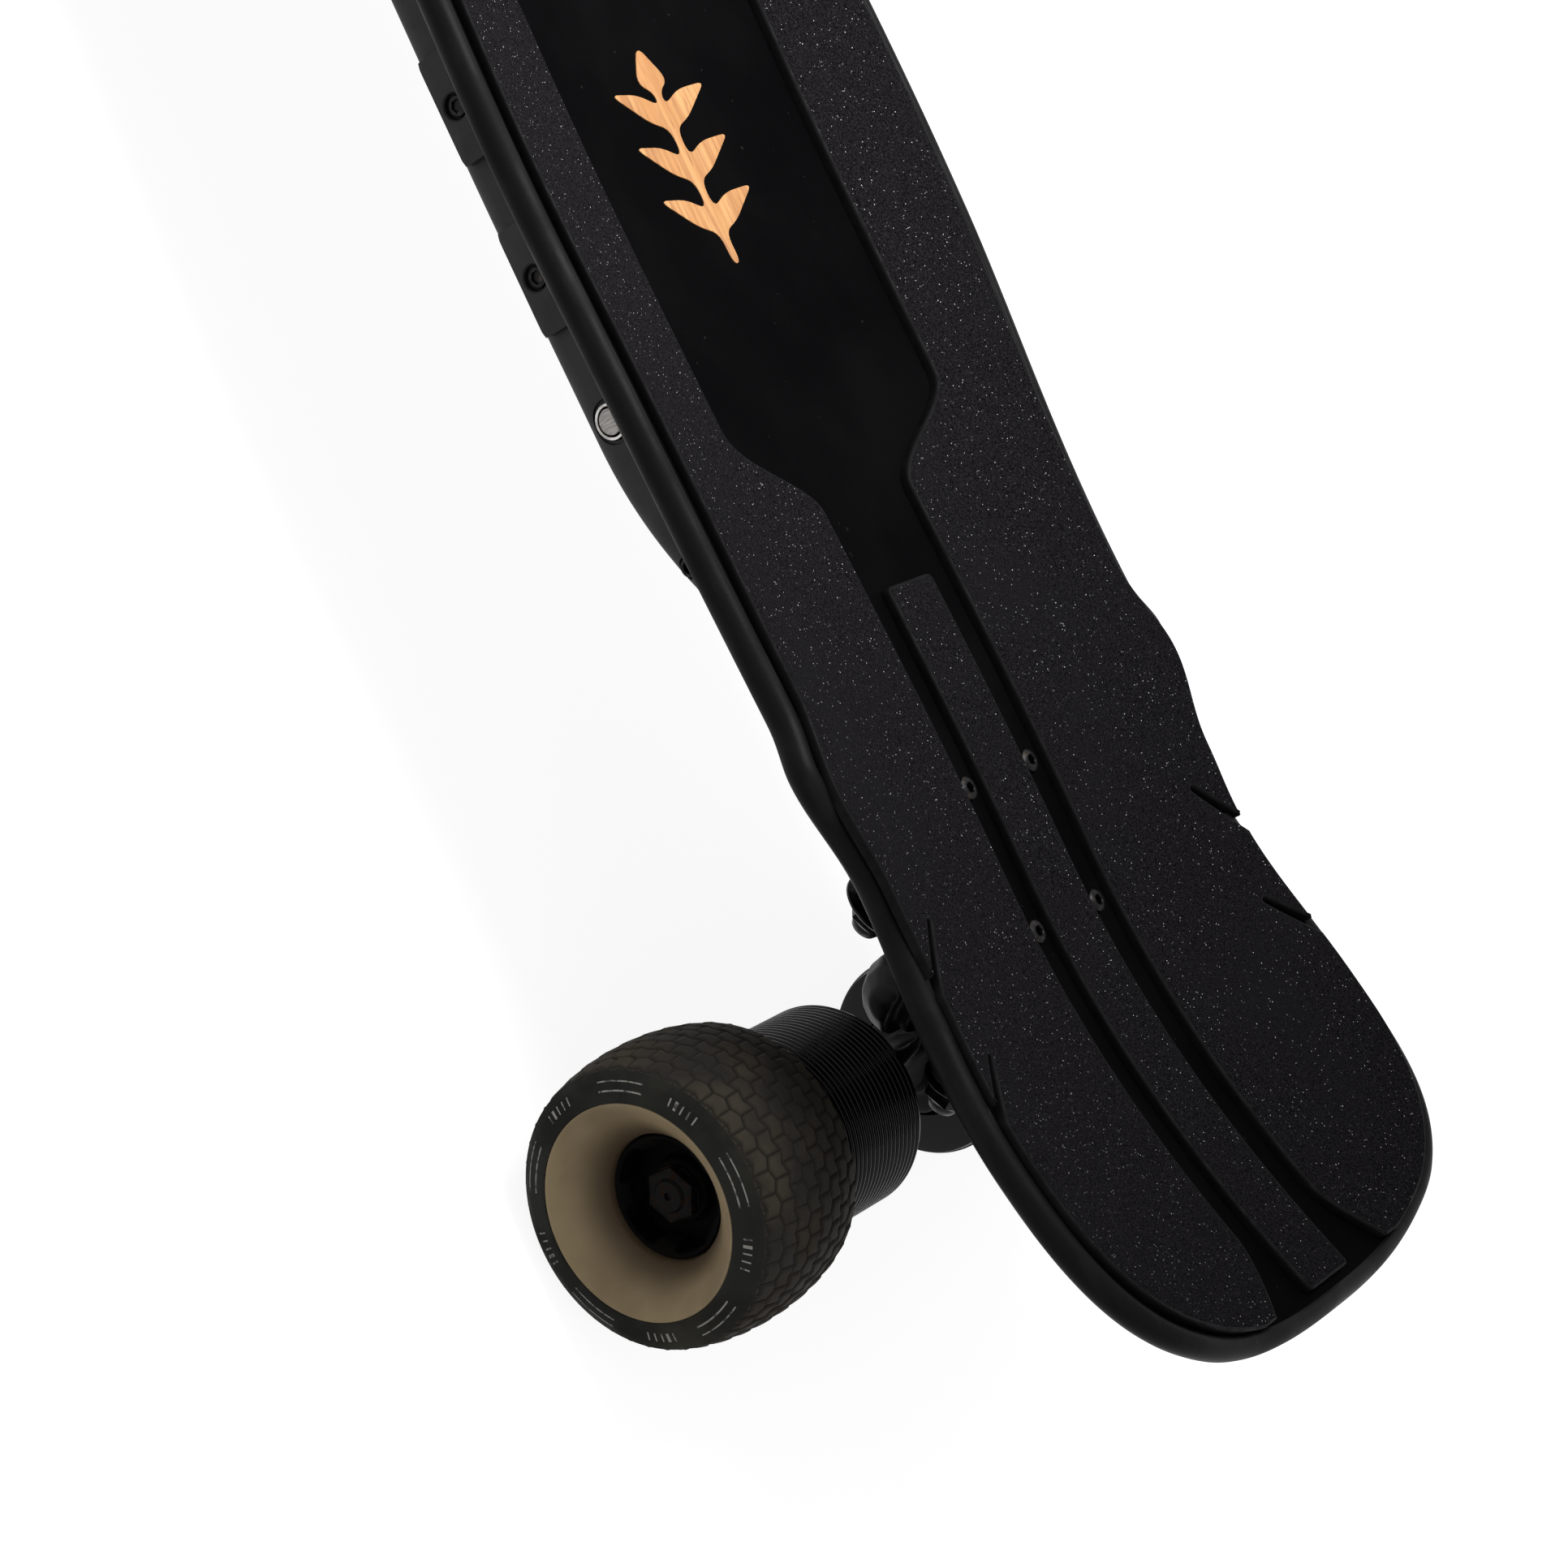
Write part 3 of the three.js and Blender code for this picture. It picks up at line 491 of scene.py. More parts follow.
def deck_finish():
    """Matt black lacquer with handling marks."""
    finish = Finish("deck_lacquer", "deck", (8, 8, 9), 0.55, specular=0.003,
                    rough=(26, 6, 0.46, 0.66, 0.35), relief=(700, 3, 0.05))
    smudged = finish.shades(finish.noise(16, 5), 0.4, 0.72, (7, 7, 8), (12, 12, 13))
    return finish.painted(finish.shades(finish.noise(330, 2), 0.74, 0.8, smudged, (36, 35, 34)))


def grit_finish():
    """Fine black grit with painted glints: scattered grains painted near white."""
    finish = Finish("grit", "grip", (26, 25, 27), 0.9, specular=0.02)
    distance, kind = finish.cells(1250)
    grains = finish.noise(1500, 2)
    speckled = finish.shades(grains, 0.35, 0.7, (12, 11, 12), (37, 35, 38))
    worn = finish.shades(finish.noise(9, 4), 0.45, 0.75, speckled, (26, 25, 27))
    # Painted highlight: grains near a scattered point are painted near white as glints.
    near = finish.graded(distance, 0.3, 0.13)
    painted_glint = finish.times(near, finish.graded(kind, 0.76, 0.96))
    finish.bump(grains, 0.3)
    return finish.painted(finish.between(painted_glint, worn, (240, 238, 245)))


def wood_finish():
    """Bamboo veneer with its grain along the board."""
    finish = Finish("bamboo", "inlay", (205, 150, 92), 0.48)
    grain = finish.noise(420, 4, stretch=(0.05, 1, 1))
    pores = finish.noise(1300, 2, stretch=(0.06, 1, 1))
    figure = finish.noise(60, 3, stretch=(0.12, 1, 1))
    light = finish.shades(grain, 0.35, 0.65, (172, 118, 70), (208, 156, 100))
    warm = finish.shades(figure, 0.4, 0.7, light, (186, 130, 76))
    finish.roughness(finish.graded(grain, 0.3, 0.7, 0.4, 0.56))
    finish.bump(grain, 0.06)
    return finish.painted(finish.shades(pores, 0.62, 0.74, warm, (122, 76, 38)))


def rubber_finish():
    """Dusty tyre rubber, with dust on the tread blocks and darker grooves."""
    finish = Finish("tyre_rubber", "tyre", (40, 38, 34), 0.86, specular=0.15,
                    relief=(900, 3, 0.12))
    dust = finish.graded(finish.noise(42, 7), 0.38, 0.66)
    block = finish.between(dust, (40, 37, 33), (66, 61, 52))
    side = finish.shades(finish.noise(34, 5), 0.4, 0.75, (36, 36, 33), (49, 48, 42))
    tread = finish.between(finish.attribute("groove"), block, (33, 31, 27))
    finish.roughness(finish.graded(dust, 0, 1, 0.74, 0.94))
    return finish.painted(finish.between(finish.attribute("tread"), side, tread))


def core_finish():
    """Beige moulded wheel core, with painted shade that darkens it toward its hub."""
    finish = Finish("core_beige", "core", (146, 128, 100), 0.52, specular=0.25,
                    rough=(80, 4, 0.44, 0.62), relief=(600, 2, 0.03))
    mottled_beige = finish.shades(finish.noise(26, 5), 0.4, 0.72, (176, 156, 122), (150, 132, 102))
    # Painted shade: the dish darkens toward the hub, where it lies in shade.
    return finish.painted(finish.between(finish.attribute("inward"), mottled_beige, (92, 78, 60)))


def circuit_finish():
    """Green board with pale tracks."""
    finish = Finish("circuit_board", "circuit", (26, 70, 46), 0.5)
    distance, _ = finish.cells(240)
    tracks = finish.graded(distance, 0.4, 0.46)
    finish.bump(tracks, 0.1)
    return finish.painted(finish.between(tracks, (22, 62, 40), (38, 92, 58)))


DECK = deck_finish()
GRIT = grit_finish()
WOOD = wood_finish()
RUBBER = rubber_finish()
CORE = core_finish()
CIRCUIT = circuit_finish()


# ---------- deck ----------


def deck_outline(steps=440):
    """Edge of the deck seen from above, anticlockwise."""
    ends = [DECK_HALF * sin(angle) for angle in spread(-pi / 2, pi / 2, steps)]
    right = [(x, -plan_half(DECK_PLAN, DECK_HALF, DECK_BLUNT, abs(x))) for x in ends]
    left = [(x, -y) for x, y in right[1:-1]]
    return right + left[::-1]


def deck_shape():
    """Rings from the spine out over a raised rail, round the edge and back underneath."""
    shape = Shape()
    edge = DECK_THICK / 2
    outline = deck_outline()
    rim = shrunk(outline, edge)
    spine = [max(-SPINE_END, min(SPINE_END, x)) for x, _ in rim]

    def inward(share, height):
        row = [(sx + (x - sx) * share, y * share) for sx, (x, y) in zip(spine, rim)]
        return [(x, y, height(x, y)) for x, y in row]

    def stepped(distance, drop):
        return [(x, y, deck_top(x, y) - drop) for x, y in shrunk(outline, edge + distance)]

    def around(angle):
        row = shrunk(outline, edge * (1 - cos(angle)))
        return [(x, y, deck_top(*inner) - edge + edge * sin(angle))
                for (x, y), inner in zip(row, rim)]

    top = [inward(share, lambda x, y: deck_top(x, y) - RECESS) for share in spread(0, 0.94, 20)]
    rail = [stepped(RAIL_STEP, RECESS), stepped(1.2, 0.2), stepped(0.8, 0)]
    bend = [around(angle) for angle in spread(pi / 2, -pi / 2, 12)]
    under = [inward(share, deck_under) for share in spread(0.97, 0, 14)]
    shape.skin([*top, *rail, *bend, *under])
    return shape


def paint_rail(board):
    """Gives the rail and the underside their own finish, up to where the top steps down. On the underside
    this lighter lacquer is painted fill light, so that it reads in its shade.
    """
    middle = shrunk(deck_outline(), DECK_THICK / 2 + RAIL_STEP)
    centres = [(face.center.x / MM, face.center.y / MM) for face in board.data.polygons]
    board.data.materials.append(RAIL)
    for face, within in zip(board.data.polygons, inside(middle, centres)):
        # Faces turned down take the lighter lacquer: painted fill light on the underside.
        face.material_index = int(not within or face.normal.z < 0)


paint_rail(piece("deck_board", deck_shape(), DECK, "board", ["deck"], sharp=50))


# ---------- grip pads, strips and inlay ----------


def fill(shape, ids, outline, height, step=7):
    """Closes a ring with triangles that follow the deck at a height above it."""
    xs, ys = zip(*outline)
    grid = [(x, y) for x in np.arange(min(xs) + step / 2, max(xs), step)
            for y in np.arange(min(ys) + step / 2, max(ys), step)]
    kept = [point for point, within in zip(grid, inside(shrunk(outline, 1), grid)) if within]
    flat = [Vector(point) for point in outline + kept]
    points, _, faces, origins, _, _ = delaunay_2d_cdt(flat, [], [list(range(len(outline)))], 1, 1e-5)
    names = []
    for point, origin in zip(points, origins):
        known = [i for i in origin if i < len(outline)]
        if known:
            names.append(ids[known[0]])
        else:
            names.append(len(shape.points))
            shape.points.append((point.x, point.y, deck_top(point.x, point.y) + height))
    shape.faces.extend(tuple(names[i] for i in face) for face in faces)


def on_deck(outline, low, high, soft):
    """Sheet that lies on the deck between two heights above it, its upper edge softened.

    The faces before edge_faces are its edge and its underside.
    """
    shape = Shape()
    steps = [(0, low), (0, high - soft), (0.3 * soft, high - 0.3 * soft), (soft, high)]
    rows = [shrunk(outline, inset) for inset, _ in steps]
    ids = shape.skin([[(x, y, deck_top(x, y) + height) for x, y in row]
                      for row, (_, height) in zip(rows, steps)])
    fill(shape, ids[0], rows[0], low)
    shape.edge_faces = len(shape.faces)
    fill(shape, ids[-1], rows[-1], high)
    return shape


def pad_inner(u):
    """How far a pad's inner edge is from the centre line: panel, narrow slot, then a flare."""
    slot_from, slot_over, flare_from, flare_over, flare = 100, 36, 416, 30, 18
    narrowing = ease((u - slot_from) / slot_over)
    spreading = max(0, (u - flare_from) / flare_over)
    return PAD_PANEL + (PAD_SLOT - PAD_PANEL) * narrowing + flare * spreading**1.4


def in_notch(x, y, root, mouth, half=1, opening=0.02):
    """Whether a place on the left pad's outer edge lies between the walls of a notch."""
    along = (Vector(mouth) - Vector(root)).normalized()
    from_root = Vector((abs(x), y)) - Vector(root)
    ahead = from_root.dot(along)
    return ahead > 0 and abs(from_root.cross(along)) < half + opening * ahead


def notch_root(root, mouth, end):
    """Bottom of a notch, rounded to 1 mm, from the wall nearer the board's middle to the other."""
    along = (Vector(mouth) - Vector(root)).normalized()
    across = Vector((-along.y, along.x))
    angles = spread(pi / 2, 3 * pi / 2, 6)
    row = [Vector(root) + across * sin(a) + along * cos(a) for a in angles]
    return [(end * point.x, point.y) for point in row]


def carry_on(outline, point, step=1):
    """Carries an outline on to a point in short steps."""
    start = Vector(outline[-1])
    reach = Vector(point) - start
    count = max(1, round(reach.length / step))
    outline.extend(tuple(start + reach * i / count) for i in range(1, count + 1))


def pad_outline(steps=1000, narrowest=2.6):
    """Left grip pad from above, anticlockwise: along its inner edge, back along its outer one."""
    xs = [PAD_TIP * sin(angle) for angle in spread(-pi / 2, pi / 2, steps)]
    pairs = [(x, pad_inner(abs(x)), plan_half(PAD_PLAN, PAD_END, PAD_BLUNT, abs(x))) for x in xs]
    pairs = [pair for pair in pairs if pair[2] - pair[1] > narrowest]
    outline = [(x, inner) for x, inner, _ in pairs[::2]]
    cut = None
    for x, _, outer in reversed(pairs):
        found = [notch for notch in NOTCHES if in_notch(x, outer, *notch)]
        if found and found[0] != cut:
            bottom = notch_root(*found[0], copysign(1, x))
            if bottom[0][0] < bottom[-1][0]:
                bottom.reverse()
            carry_on(outline, bottom[0])
            outline.extend(bottom[1:])
        if cut and not found:
            carry_on(outline, (x, outer))
        elif not found:
            outline.append((x, outer))
        cut = found[0] if found else None
    return outline


def mirrored(outline):
    """The same outline on the other side of the board, still anticlockwise."""
    return [(x, -y) for x, y in reversed(outline)]


def grip_piece(name, outline):
    """Pad or strip in its recess, with grit on top and smooth edges."""
    shape = on_deck(outline, -RECESS, PAD_HEIGHT, PAD_SOFT)
    obj = piece(name, shape, PAD_EDGE, "board", [f"grip_{name}"], sharp=60)
    obj.data.materials.append(GRIT)
    for face in obj.data.polygons:
        face.material_index = int(face.index >= shape.edge_faces)


def strip_outline(near, far, corner=3, step=5):
    """Strip along the centre line with rounded corners and a point at every step or closer."""
    sides = rounded([(near, -STRIP_HALF), (far, -STRIP_HALF), (far, STRIP_HALF), (near, STRIP_HALF)], corner)
    outline = []
    for here, after in zip(sides, sides[1:] + sides[:1]):
        count = max(1, round((Vector(after) - Vector(here)).length / step))
        outline += [tuple(Vector(here).lerp(Vector(after), i / count)) for i in range(count)]
    return outline


left_pad = pad_outline()
grip_piece("pad_left", left_pad)
grip_piece("pad_right", mirrored(left_pad))
grip_piece("strip_tail", strip_outline(-STRIP_TO, -STRIP_FROM))
grip_piece("strip_nose", strip_outline(STRIP_FROM, STRIP_TO))


def sprig_outline():
    """Stem along the board with pairs of leaves and one at its tip, anticlockwise."""
    stem, reach = 2, 28
    left = []
    for x in (-30, -10, 10):
        left += [(x, stem), (x + 3, stem + 9), (x + 15, reach), (x + 14, stem + 10), (x + 9, stem)]
    left = [(-42, stem), *left, (24, stem), (28, 9), (42, 0)]
    right = mirrored(left)[1:]
    return rounded(list(reversed(left)) + list(reversed(right)), 5, 5)


sprig = on_deck(sprig_outline(), -RECESS, -RECESS + INLAY_HEIGHT, INLAY_SOFT)
piece("wood_inlay", sprig, WOOD, "board", ["inlay"], sharp=50)


# ---------- battery enclosure ----------


def roof(x, y):
    """Height at which the enclosure ends, just under the deck."""
    return deck_under(x, y) - GAP


def tray_shape(xs, wall, lift, corner):
    """Body of the enclosure, or of its hollow when drawn smaller by the wall.

    Toward its ends it gets shallow, but never quite flat.
    """
    rings = []
    half = BOX_HALF - wall
    for x in xs:
        full = 1 - (max(0, abs(x) - BOX_FLAT) / BOX_TAPER) ** 2
        side = roof(x, BOX_HALF) - max(0.6, BOX_SIDE * full - wall)
        level = deck_under(0, 0) * full + deck_under(x, 0) * (1 - full)
        floor = level - GAP - max(0.4, BOX_DEPTH * full - wall)
        rim = roof(x, half) + lift
        lower = rounded([(half, rim), (half, side), (BOX_FLOOR_HALF, floor), (-BOX_FLOOR_HALF, floor),
                         (-half, side), (-half, rim)], corner, 5, closed=False)
        upper = [(y, roof(x, y) + lift) for y in spread(-half, half, 24)[1:-1]]
        rings.append([(x, y, z) for y, z in lower + upper])
    return Shape().solid(rings)


def wall_place(x, below, side=1):
    """Place on the enclosure's wall, so far below its top, with Y pointing out of it and Z up."""
    return standing(x, side * BOX_HALF, roof(x, BOX_HALF) - below, side)


button_place = wall_place(BUTTON_AT, below=7.4)
port_place = wall_place(PORT_AT, below=5.2)
clamp_places = {f"{where}_{hand}": wall_place(end * CLAMP_AT, BOX_SIDE / 2, side)
                for where, end in ENDS for hand, side in HANDS}


def drill(radius, depth, place, proud=4):
    """Tool that cuts a round hole so deep into the wall."""
    return tool(turned([(radius, -depth), (radius, proud)], 48), place)


enclosure_shape = tray_shape(spread(-BOX_END, BOX_END, 104), wall=0, lift=0, corner=5)
enclosure = piece("battery_enclosure", enclosure_shape, SHELL, "board", ["enclosure"])
carve(enclosure, [
    tool(tray_shape(spread(-HOLLOW_END, HOLLOW_END, 60), wall=3, lift=6, corner=3)),
    drill(6.5, 9, button_place),
    drill(7.9, 0.9, button_place),
    drill(3.9, 9, port_place),
    *(drill(2.4, 9, place) for place in clamp_places.values()),
], sharp=40)


def clamp_shape(length=38, height=14, hole=4.6, base=0.4, thick=2.2, soft=0.4, squareness=18):
    """Plate with rounded corners and a round recess, lying on the wall."""
    def rim(inset, y):
        def reach(angle):
            along = abs(cos(angle)) / (length / 2 - inset)
            up = abs(sin(angle)) / (height / 2 - inset)
            return (along**squareness + up**squareness) ** (-1 / squareness)
        return hoop(y, 96, reach)

    def circle(radius, y):
        return hoop(y, 96, lambda angle: radius)

    top = base + thick
    return Shape().solid([
        rim(0, base), rim(0, top - soft), rim(0.3 * soft, top - 0.3 * soft), rim(soft, top),
        circle(hole + 0.5, top), circle(hole, top - 0.5), circle(hole, base),
    ], loop=True)


SCREW = [(1.9, -6), (1.9, 0.2), (3.7, 0.3), (3.8, 0.7), (3.4, 1.4), (2.1, 1.6, "hex"), (1.9, 0.7, "hex")]
for name, place in clamp_places.items():
    piece(f"clamp_plate_{name}", clamp_shape(), SHELL, "board", [f"clamp_{name}"], place)
    piece(f"clamp_bolt_{name}", turned(SCREW, 48), BLACK_STEEL, "board", [f"clamp_screw_{name}"], place)

bezel = turned(rounded([(5.1, -5), (6, -5), (6, 0.3), (6.2, 1), (5.2, 1), (5.1, 0.4)], 0.25, 3), loop=True)
piece("button_ring", bezel, STEEL, "board", ["button_bezel"], button_place)
cap = turned(rounded([(4.5, -5), (4.5, 1.2), (3.9, 1.6), (1.2, 1.75), (0.2, 1.75)], 0.3, 4, closed=False))
piece("button_cap", cap, BRUSHED, "button", ["power_button"], button_place)
SOCKET = [(2.2, -3), (2.2, -0.6), (3.4, -0.6), (3.4, -6), (0.9, -6), (0.9, -1.2), (0.3, -0.9), (0.3, -3)]
socket = turned(rounded(SOCKET, 0.2, 2), 64, loop=True)
piece("port_socket", socket, BLACK_STEEL, "board", ["charge_port"], port_place)

for hand, side in HANDS:
    low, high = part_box(f"cable_gland_{hand}")
    place = aimed((high.x / MM, side * GLAND_AT, (low.z + high.z) / 2 / MM), (-1, 0, 0))
    gland = turned([(4.2, 0), (4.2, 3.4), (3.7, 3.6), (3.7, 4.2), (4.1, 4.4), (4, 6.4), (3, 7), (2.9, 9),
                    (2.6, 9.2), (2.6, 9.8), (2.9, 10), (2.7, 13), (2.2, 13.5), (1.6, 13.3), (1.6, 11)], 48)
    piece(f"gland_{hand}", gland, BUSHING, "board", [f"cable_gland_{hand}"], place)


# ---------- trucks ----------

# Measured down the kingpin from the pivot: its head, and where each bushing starts and ends, with
# its radius there. The flange is the washer's radius.
PIVOTS = {
    "lead": {"centre": (-8, 0, -53), "tilt": 20, "head": -35.4, "flange": 15,
             "bushings": [("upper", -21.6, -6.9, 13, 12), ("lower", 6.9, 15.2, 12.5, 11.5)]},
    "trail": {"centre": (56, 0, -58), "tilt": 32, "head": -31, "flange": 12,
              "bushings": [("upper", -20.6, -6.9, 11.5, 11), ("lower", 6.9, 15.2, 11.5, 10.5)]},
}


def truck_place(end):
    """Truck's own frame: X away from the board's middle, and heights from the deck's top."""
    return standing(end * TRUCK_AT, 0, TOP_AT_TRUCKS, end)


def kingpin_place(end, pivot):
    """Place at a pivot's centre with Y pointing down its kingpin."""
    tilt = radians(PIVOTS[pivot]["tilt"])
    return truck_place(end) @ aimed(PIVOTS[pivot]["centre"], (sin(tilt), 0, -cos(tilt)))


def casting(name, node, body, reach=None):
    """Copy of a CAD casting whose edges are softened, cut off beyond a reach sideways."""
    work = bmesh.new()
    work.from_mesh(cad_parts[node].data)
    bmesh.ops.remove_doubles(work, verts=work.verts, dist=1e-6)
    if reach:
        for side in (-1, 1):
            everything = work.verts[:] + work.edges[:] + work.faces[:]
            made = bmesh.ops.bisect_plane(work, geom=everything, plane_co=(0, side * reach * MM, 0),
                                          plane_no=(0, side, 0), clear_outer=True)
            rim = [item for item in made["geom_cut"] if isinstance(item, bmesh.types.BMEdge)]
            bmesh.ops.edgenet_fill(work, edges=rim)
    mesh = bpy.data.meshes.new(name)
    work.to_mesh(mesh)
    work.free()
    obj = dressed(name, mesh, CASTING, body, [node], sharp=180)
    remesh = obj.modifiers.new("remesh", "REMESH")
    remesh.mode = "VOXEL"
    remesh.voxel_size = VOXEL * MM
    remesh.use_smooth_shade = True
    soften = obj.modifiers.new("soften", "SMOOTH")
    soften.factor = 0.5
    soften.iterations = 7
    apply_modifiers(obj)


def kingpin_shape(head, flange, washer=15.6):
    """Hexagon head, shank, flanged washer and dome nut in one row down the kingpin."""
    shape = turned([(0.5, head), (7, head), (8, head + 0.6, "hex"), (8, head + 3.6, "hex"),
                    (4.8, head + 3.7), (4.8, washer - 0.1)], 48)
    turned([(5, 0), (flange - 0.8, 0), (flange, 0.5), (flange, 1.4), (flange - 0.6, 2), (flange - 1.8, 2),
            (flange - 2.2, 1.3), (9.8, 1.3), (9.4, 1.9), (5, 1.9)], 72, shape=shape, start=washer)
    turned([(5, 1.9), (7.6, 1.9), (8.6, 2.5, "hex"), (8.6, 7.6, "hex"), (7.4, 9), (6.3, 9.1), (6.1, 11),
            (5, 13.4), (3, 14.7), (0.3, 15)], 72, shape=shape, start=washer)
    return shape


def bushing_shape(start, end, wide, narrow):
    """Ribbed urethane bushing with a bore, wider at one end."""
    bore, ribs = 5.3, 3
    profile = [(bore, start), (wide - 0.8, start)]
    for t in spread(0, 1, 36):
        radius = wide + (narrow - wide) * t
        groove = 0.9 * max(0, cos(2 * pi * ribs * t + pi)) ** 2
        lip = 0.8 * (smooth_step(t, 0.08, 0) + smooth_step(t, 0.92, 1))
        profile.append((radius - groove * (1 - lip) - lip * 0.6, start + (end - start) * t))
    profile.append((bore, end))
    return turned(profile, 72, loop=True)


def add_pivot(where, end, pivot, parent):
    """Kingpin on the parent body, and bushings, on no body, between it and the child."""
    place = kingpin_place(end, pivot)
    sizes = PIVOTS[pivot]
    name = f"{where}_{pivot}"
    pin = kingpin_shape(sizes["head"], sizes["flange"])
    piece(f"{name}_pin", pin, BLACK_STEEL, parent, [f"{name}_kingpin"], place)
    for level, start, stop, wide, narrow in sizes["bushings"]:
        ring = piece(f"{name}_urethane_{level}", bushing_shape(start, stop, wide, narrow),
                     BUSHING, None, [f"{name}_bushing_{level}"], place)
        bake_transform(ring)


def axle_shape(radius):
    """Axle with a hexagon nut and washer at each end."""
    nut = BEARING_FACE + GAP
    tip = nut + 6
    half = [(1.2, tip - 2), (1.4, tip), (radius - 0.8, tip), (radius, tip - 0.8)]
    shape = turned([(out, -y) for out, y in half] + half[::-1], 64)
    profile = [(0, 0), (3.3, 0), (3.3, 0.8), (2.4, 0.9), (2.6, 1.1, "hex"), (2.6, 4.4, "hex"), (1.7, 5),
               (0.1, 5)]
    for side in (-1, 1):
        turned([(radius + out, side * (nut + y), *kind) for out, y, *kind in profile], 72, shape=shape)
    return shape


for where, end in ENDS:
    carrier, hanger = f"{where}_carrier", f"{where}_hanger"
    casting(f"{where}_base_casting", f"{where}_baseplate", "board")
    casting(f"{where}_carrier_casting", carrier, carrier)
    arm = MOTOR_IN - 0.7 if end < 0 else TYRE_IN - 2
    casting(f"{where}_hanger_casting", hanger, hanger, arm)
    axle_place = standing(end * AXLE_AT, 0, WHEEL_RADIUS, 1)
    piece(f"{where}_axle", axle_shape(AXLE_RADIUS[where]), RUSTY, hanger, place=axle_place)
    add_pivot(where, end, "lead", "board")
    add_pivot(where, end, "trail", carrier)


def bolt_shape(length):
    """Pan head with a hexagon socket, a shank and a nut, turned down from the deck."""
    shape = turned([(1.6, 1.2, "hex"), (1.75, -0.9, "hex"), (2.2, -1.3), (3.3, -1.1), (4.1, -0.5),
                    (4.3, 0.2), (4.3, 0.8), (2.4, 0.9), (2.4, length), (2, length + 0.4)], 60)
    turned([(2.5, -7), (4, -7), (4.6, -6.6, "hex"), (4.6, -2.4, "hex"), (4, -2), (2.5, -2)], 60,
           shape=shape, start=length)
    return shape


for node in sorted(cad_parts):
    if node.startswith("deck_bolt_"):
        low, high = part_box(node)
        x, y = (low.x + high.x) / 2 / MM, (low.y + high.y) / 2 / MM
        length = deck_top(x, y) - low.z / MM
        place = aimed((x, y, deck_top(x, y) - RECESS + 0.8), (0, 0, -1))
        piece(node.replace("deck_bolt", "bolt"), bolt_shape(length), BLACK_STEEL, "board", [node], place)


# ---------- wheels, built about the axle with Y pointing out ----------

BLOCKS = 40
BLOCK_LENGTH = 2 * pi * WHEEL_RADIUS / BLOCKS
ROW = 6.7  # width of a row of blocks
FIRST_ROW = 1  # how much of the innermost row is cut off
TREAD_INSET = 2  # from the tyre's sides to its tread


def tread_at(turn, across):
    """How far a place is in a groove, from 0 to 1, and how deep the tread is there."""
    around = turn * BLOCKS
    zigzag = 1.6 * (2 * abs(around % 1 - 0.5) - 0.5)
    row = (across + zigzag) / ROW
    shifted = around + 0.5 * (row // 1 % 2)
    to_row = min(row % 1, 1 - row % 1) * ROW
    to_side = min(shifted % 1, 1 - shifted % 1) * BLOCK_LENGTH
    groove = 1 - smooth_step(min(to_row, to_side), 0.15, 0.95)
    slope = 0.5 * (shifted % 1)
    return groove, 0.9 * groove + slope * (1 - groove)


def barrel(y):
    """Radius of the tread at a distance along the axle."""
    middle, half = (TYRE_IN + TYRE_OUT) / 2, (TYRE_OUT - TYRE_IN) / 2 - TREAD_INSET
    return SHOULDER + (WHEEL_RADIUS - SHOULDER) * (1 - min(1, abs(y - middle) / half) ** 2.2)


def side_profile():
    """Outer side of the tyre from its shoulder in to its lip."""
    corner = [(SHOULDER - 0.5, TYRE_OUT - 1.6), (SHOULDER - 3, TYRE_OUT)]
    band = [(r, TYRE_OUT + BULGE * ((SHOULDER - 3 - r) / (SHOULDER - 3 - LIP)) ** 0.8)
            for r in (45.5, 45.05, 44.5, 43, 42.45, 41.9, 41, 40, LIP + 0.6)]
    return corner + band + [(LIP + 0.15, LIP_AT - 0.15)]


def is_mark(shape, corners):
    """Whether a face of the tyre's side carries one of its plain printed arcs and ticks."""
    middle = sum((Vector(shape.points[i]) for i in corners), Vector()) / len(corners)
    radius = hypot(middle.x, middle.z)
    turn = atan2(middle.z, middle.x) / (2 * pi)
    share = (turn * 5) % 1
    wide = 0.12 < share < 0.46 and (44.9 < radius < 45.6 or 41.8 < radius < 42.5)
    ticks = 0.66 < share < 0.86 and (share * 20) % 1 < 0.3 and 41.9 < radius < 45.1
    return middle.y > TYRE_OUT and (wide or ticks)


def tyre_shape(facets=480):
    """Tyre with a cut tread. Its points carry how deep in a groove they are and whether they are
    tread, and the numbers of its painted faces are kept.
    """
    shape = Shape()
    shape.grooves, shape.treads = [], []
    rings = []
    tread_from, tread_to = TYRE_IN + TREAD_INSET, TYRE_OUT - TREAD_INSET
    back = [(LIP + 0.3, TYRE_IN + 2), (LIP + 2, TYRE_IN + 1), (43, TYRE_IN + 0.3), (SHOULDER - 3, TYRE_IN),
            (SHOULDER - 0.5, TYRE_IN + 1.6)]
    rows = [(radius, y, False) for radius, y in back]
    rows += [(barrel(y), y, True) for y in spread(tread_from, tread_to, 76)]
    rows += [(radius, y, False) for radius, y in side_profile()]
    for radius, y, is_tread in rows:
        ring = []
        for i in range(facets):
            turn = i / facets
            groove, depth = tread_at(turn, y - tread_from + FIRST_ROW) if is_tread else (0, 0)
            reach = radius - depth
            ring.append((reach * cos(2 * pi * turn), y, reach * sin(2 * pi * turn)))
            shape.grooves.append(groove)
            shape.treads.append(float(is_tread))
        rings.append(ring)
    shape.solid(rings, loop=True)
    shape.painted = [number for number, corners in enumerate(shape.faces) if is_mark(shape, corners)]
    return shape


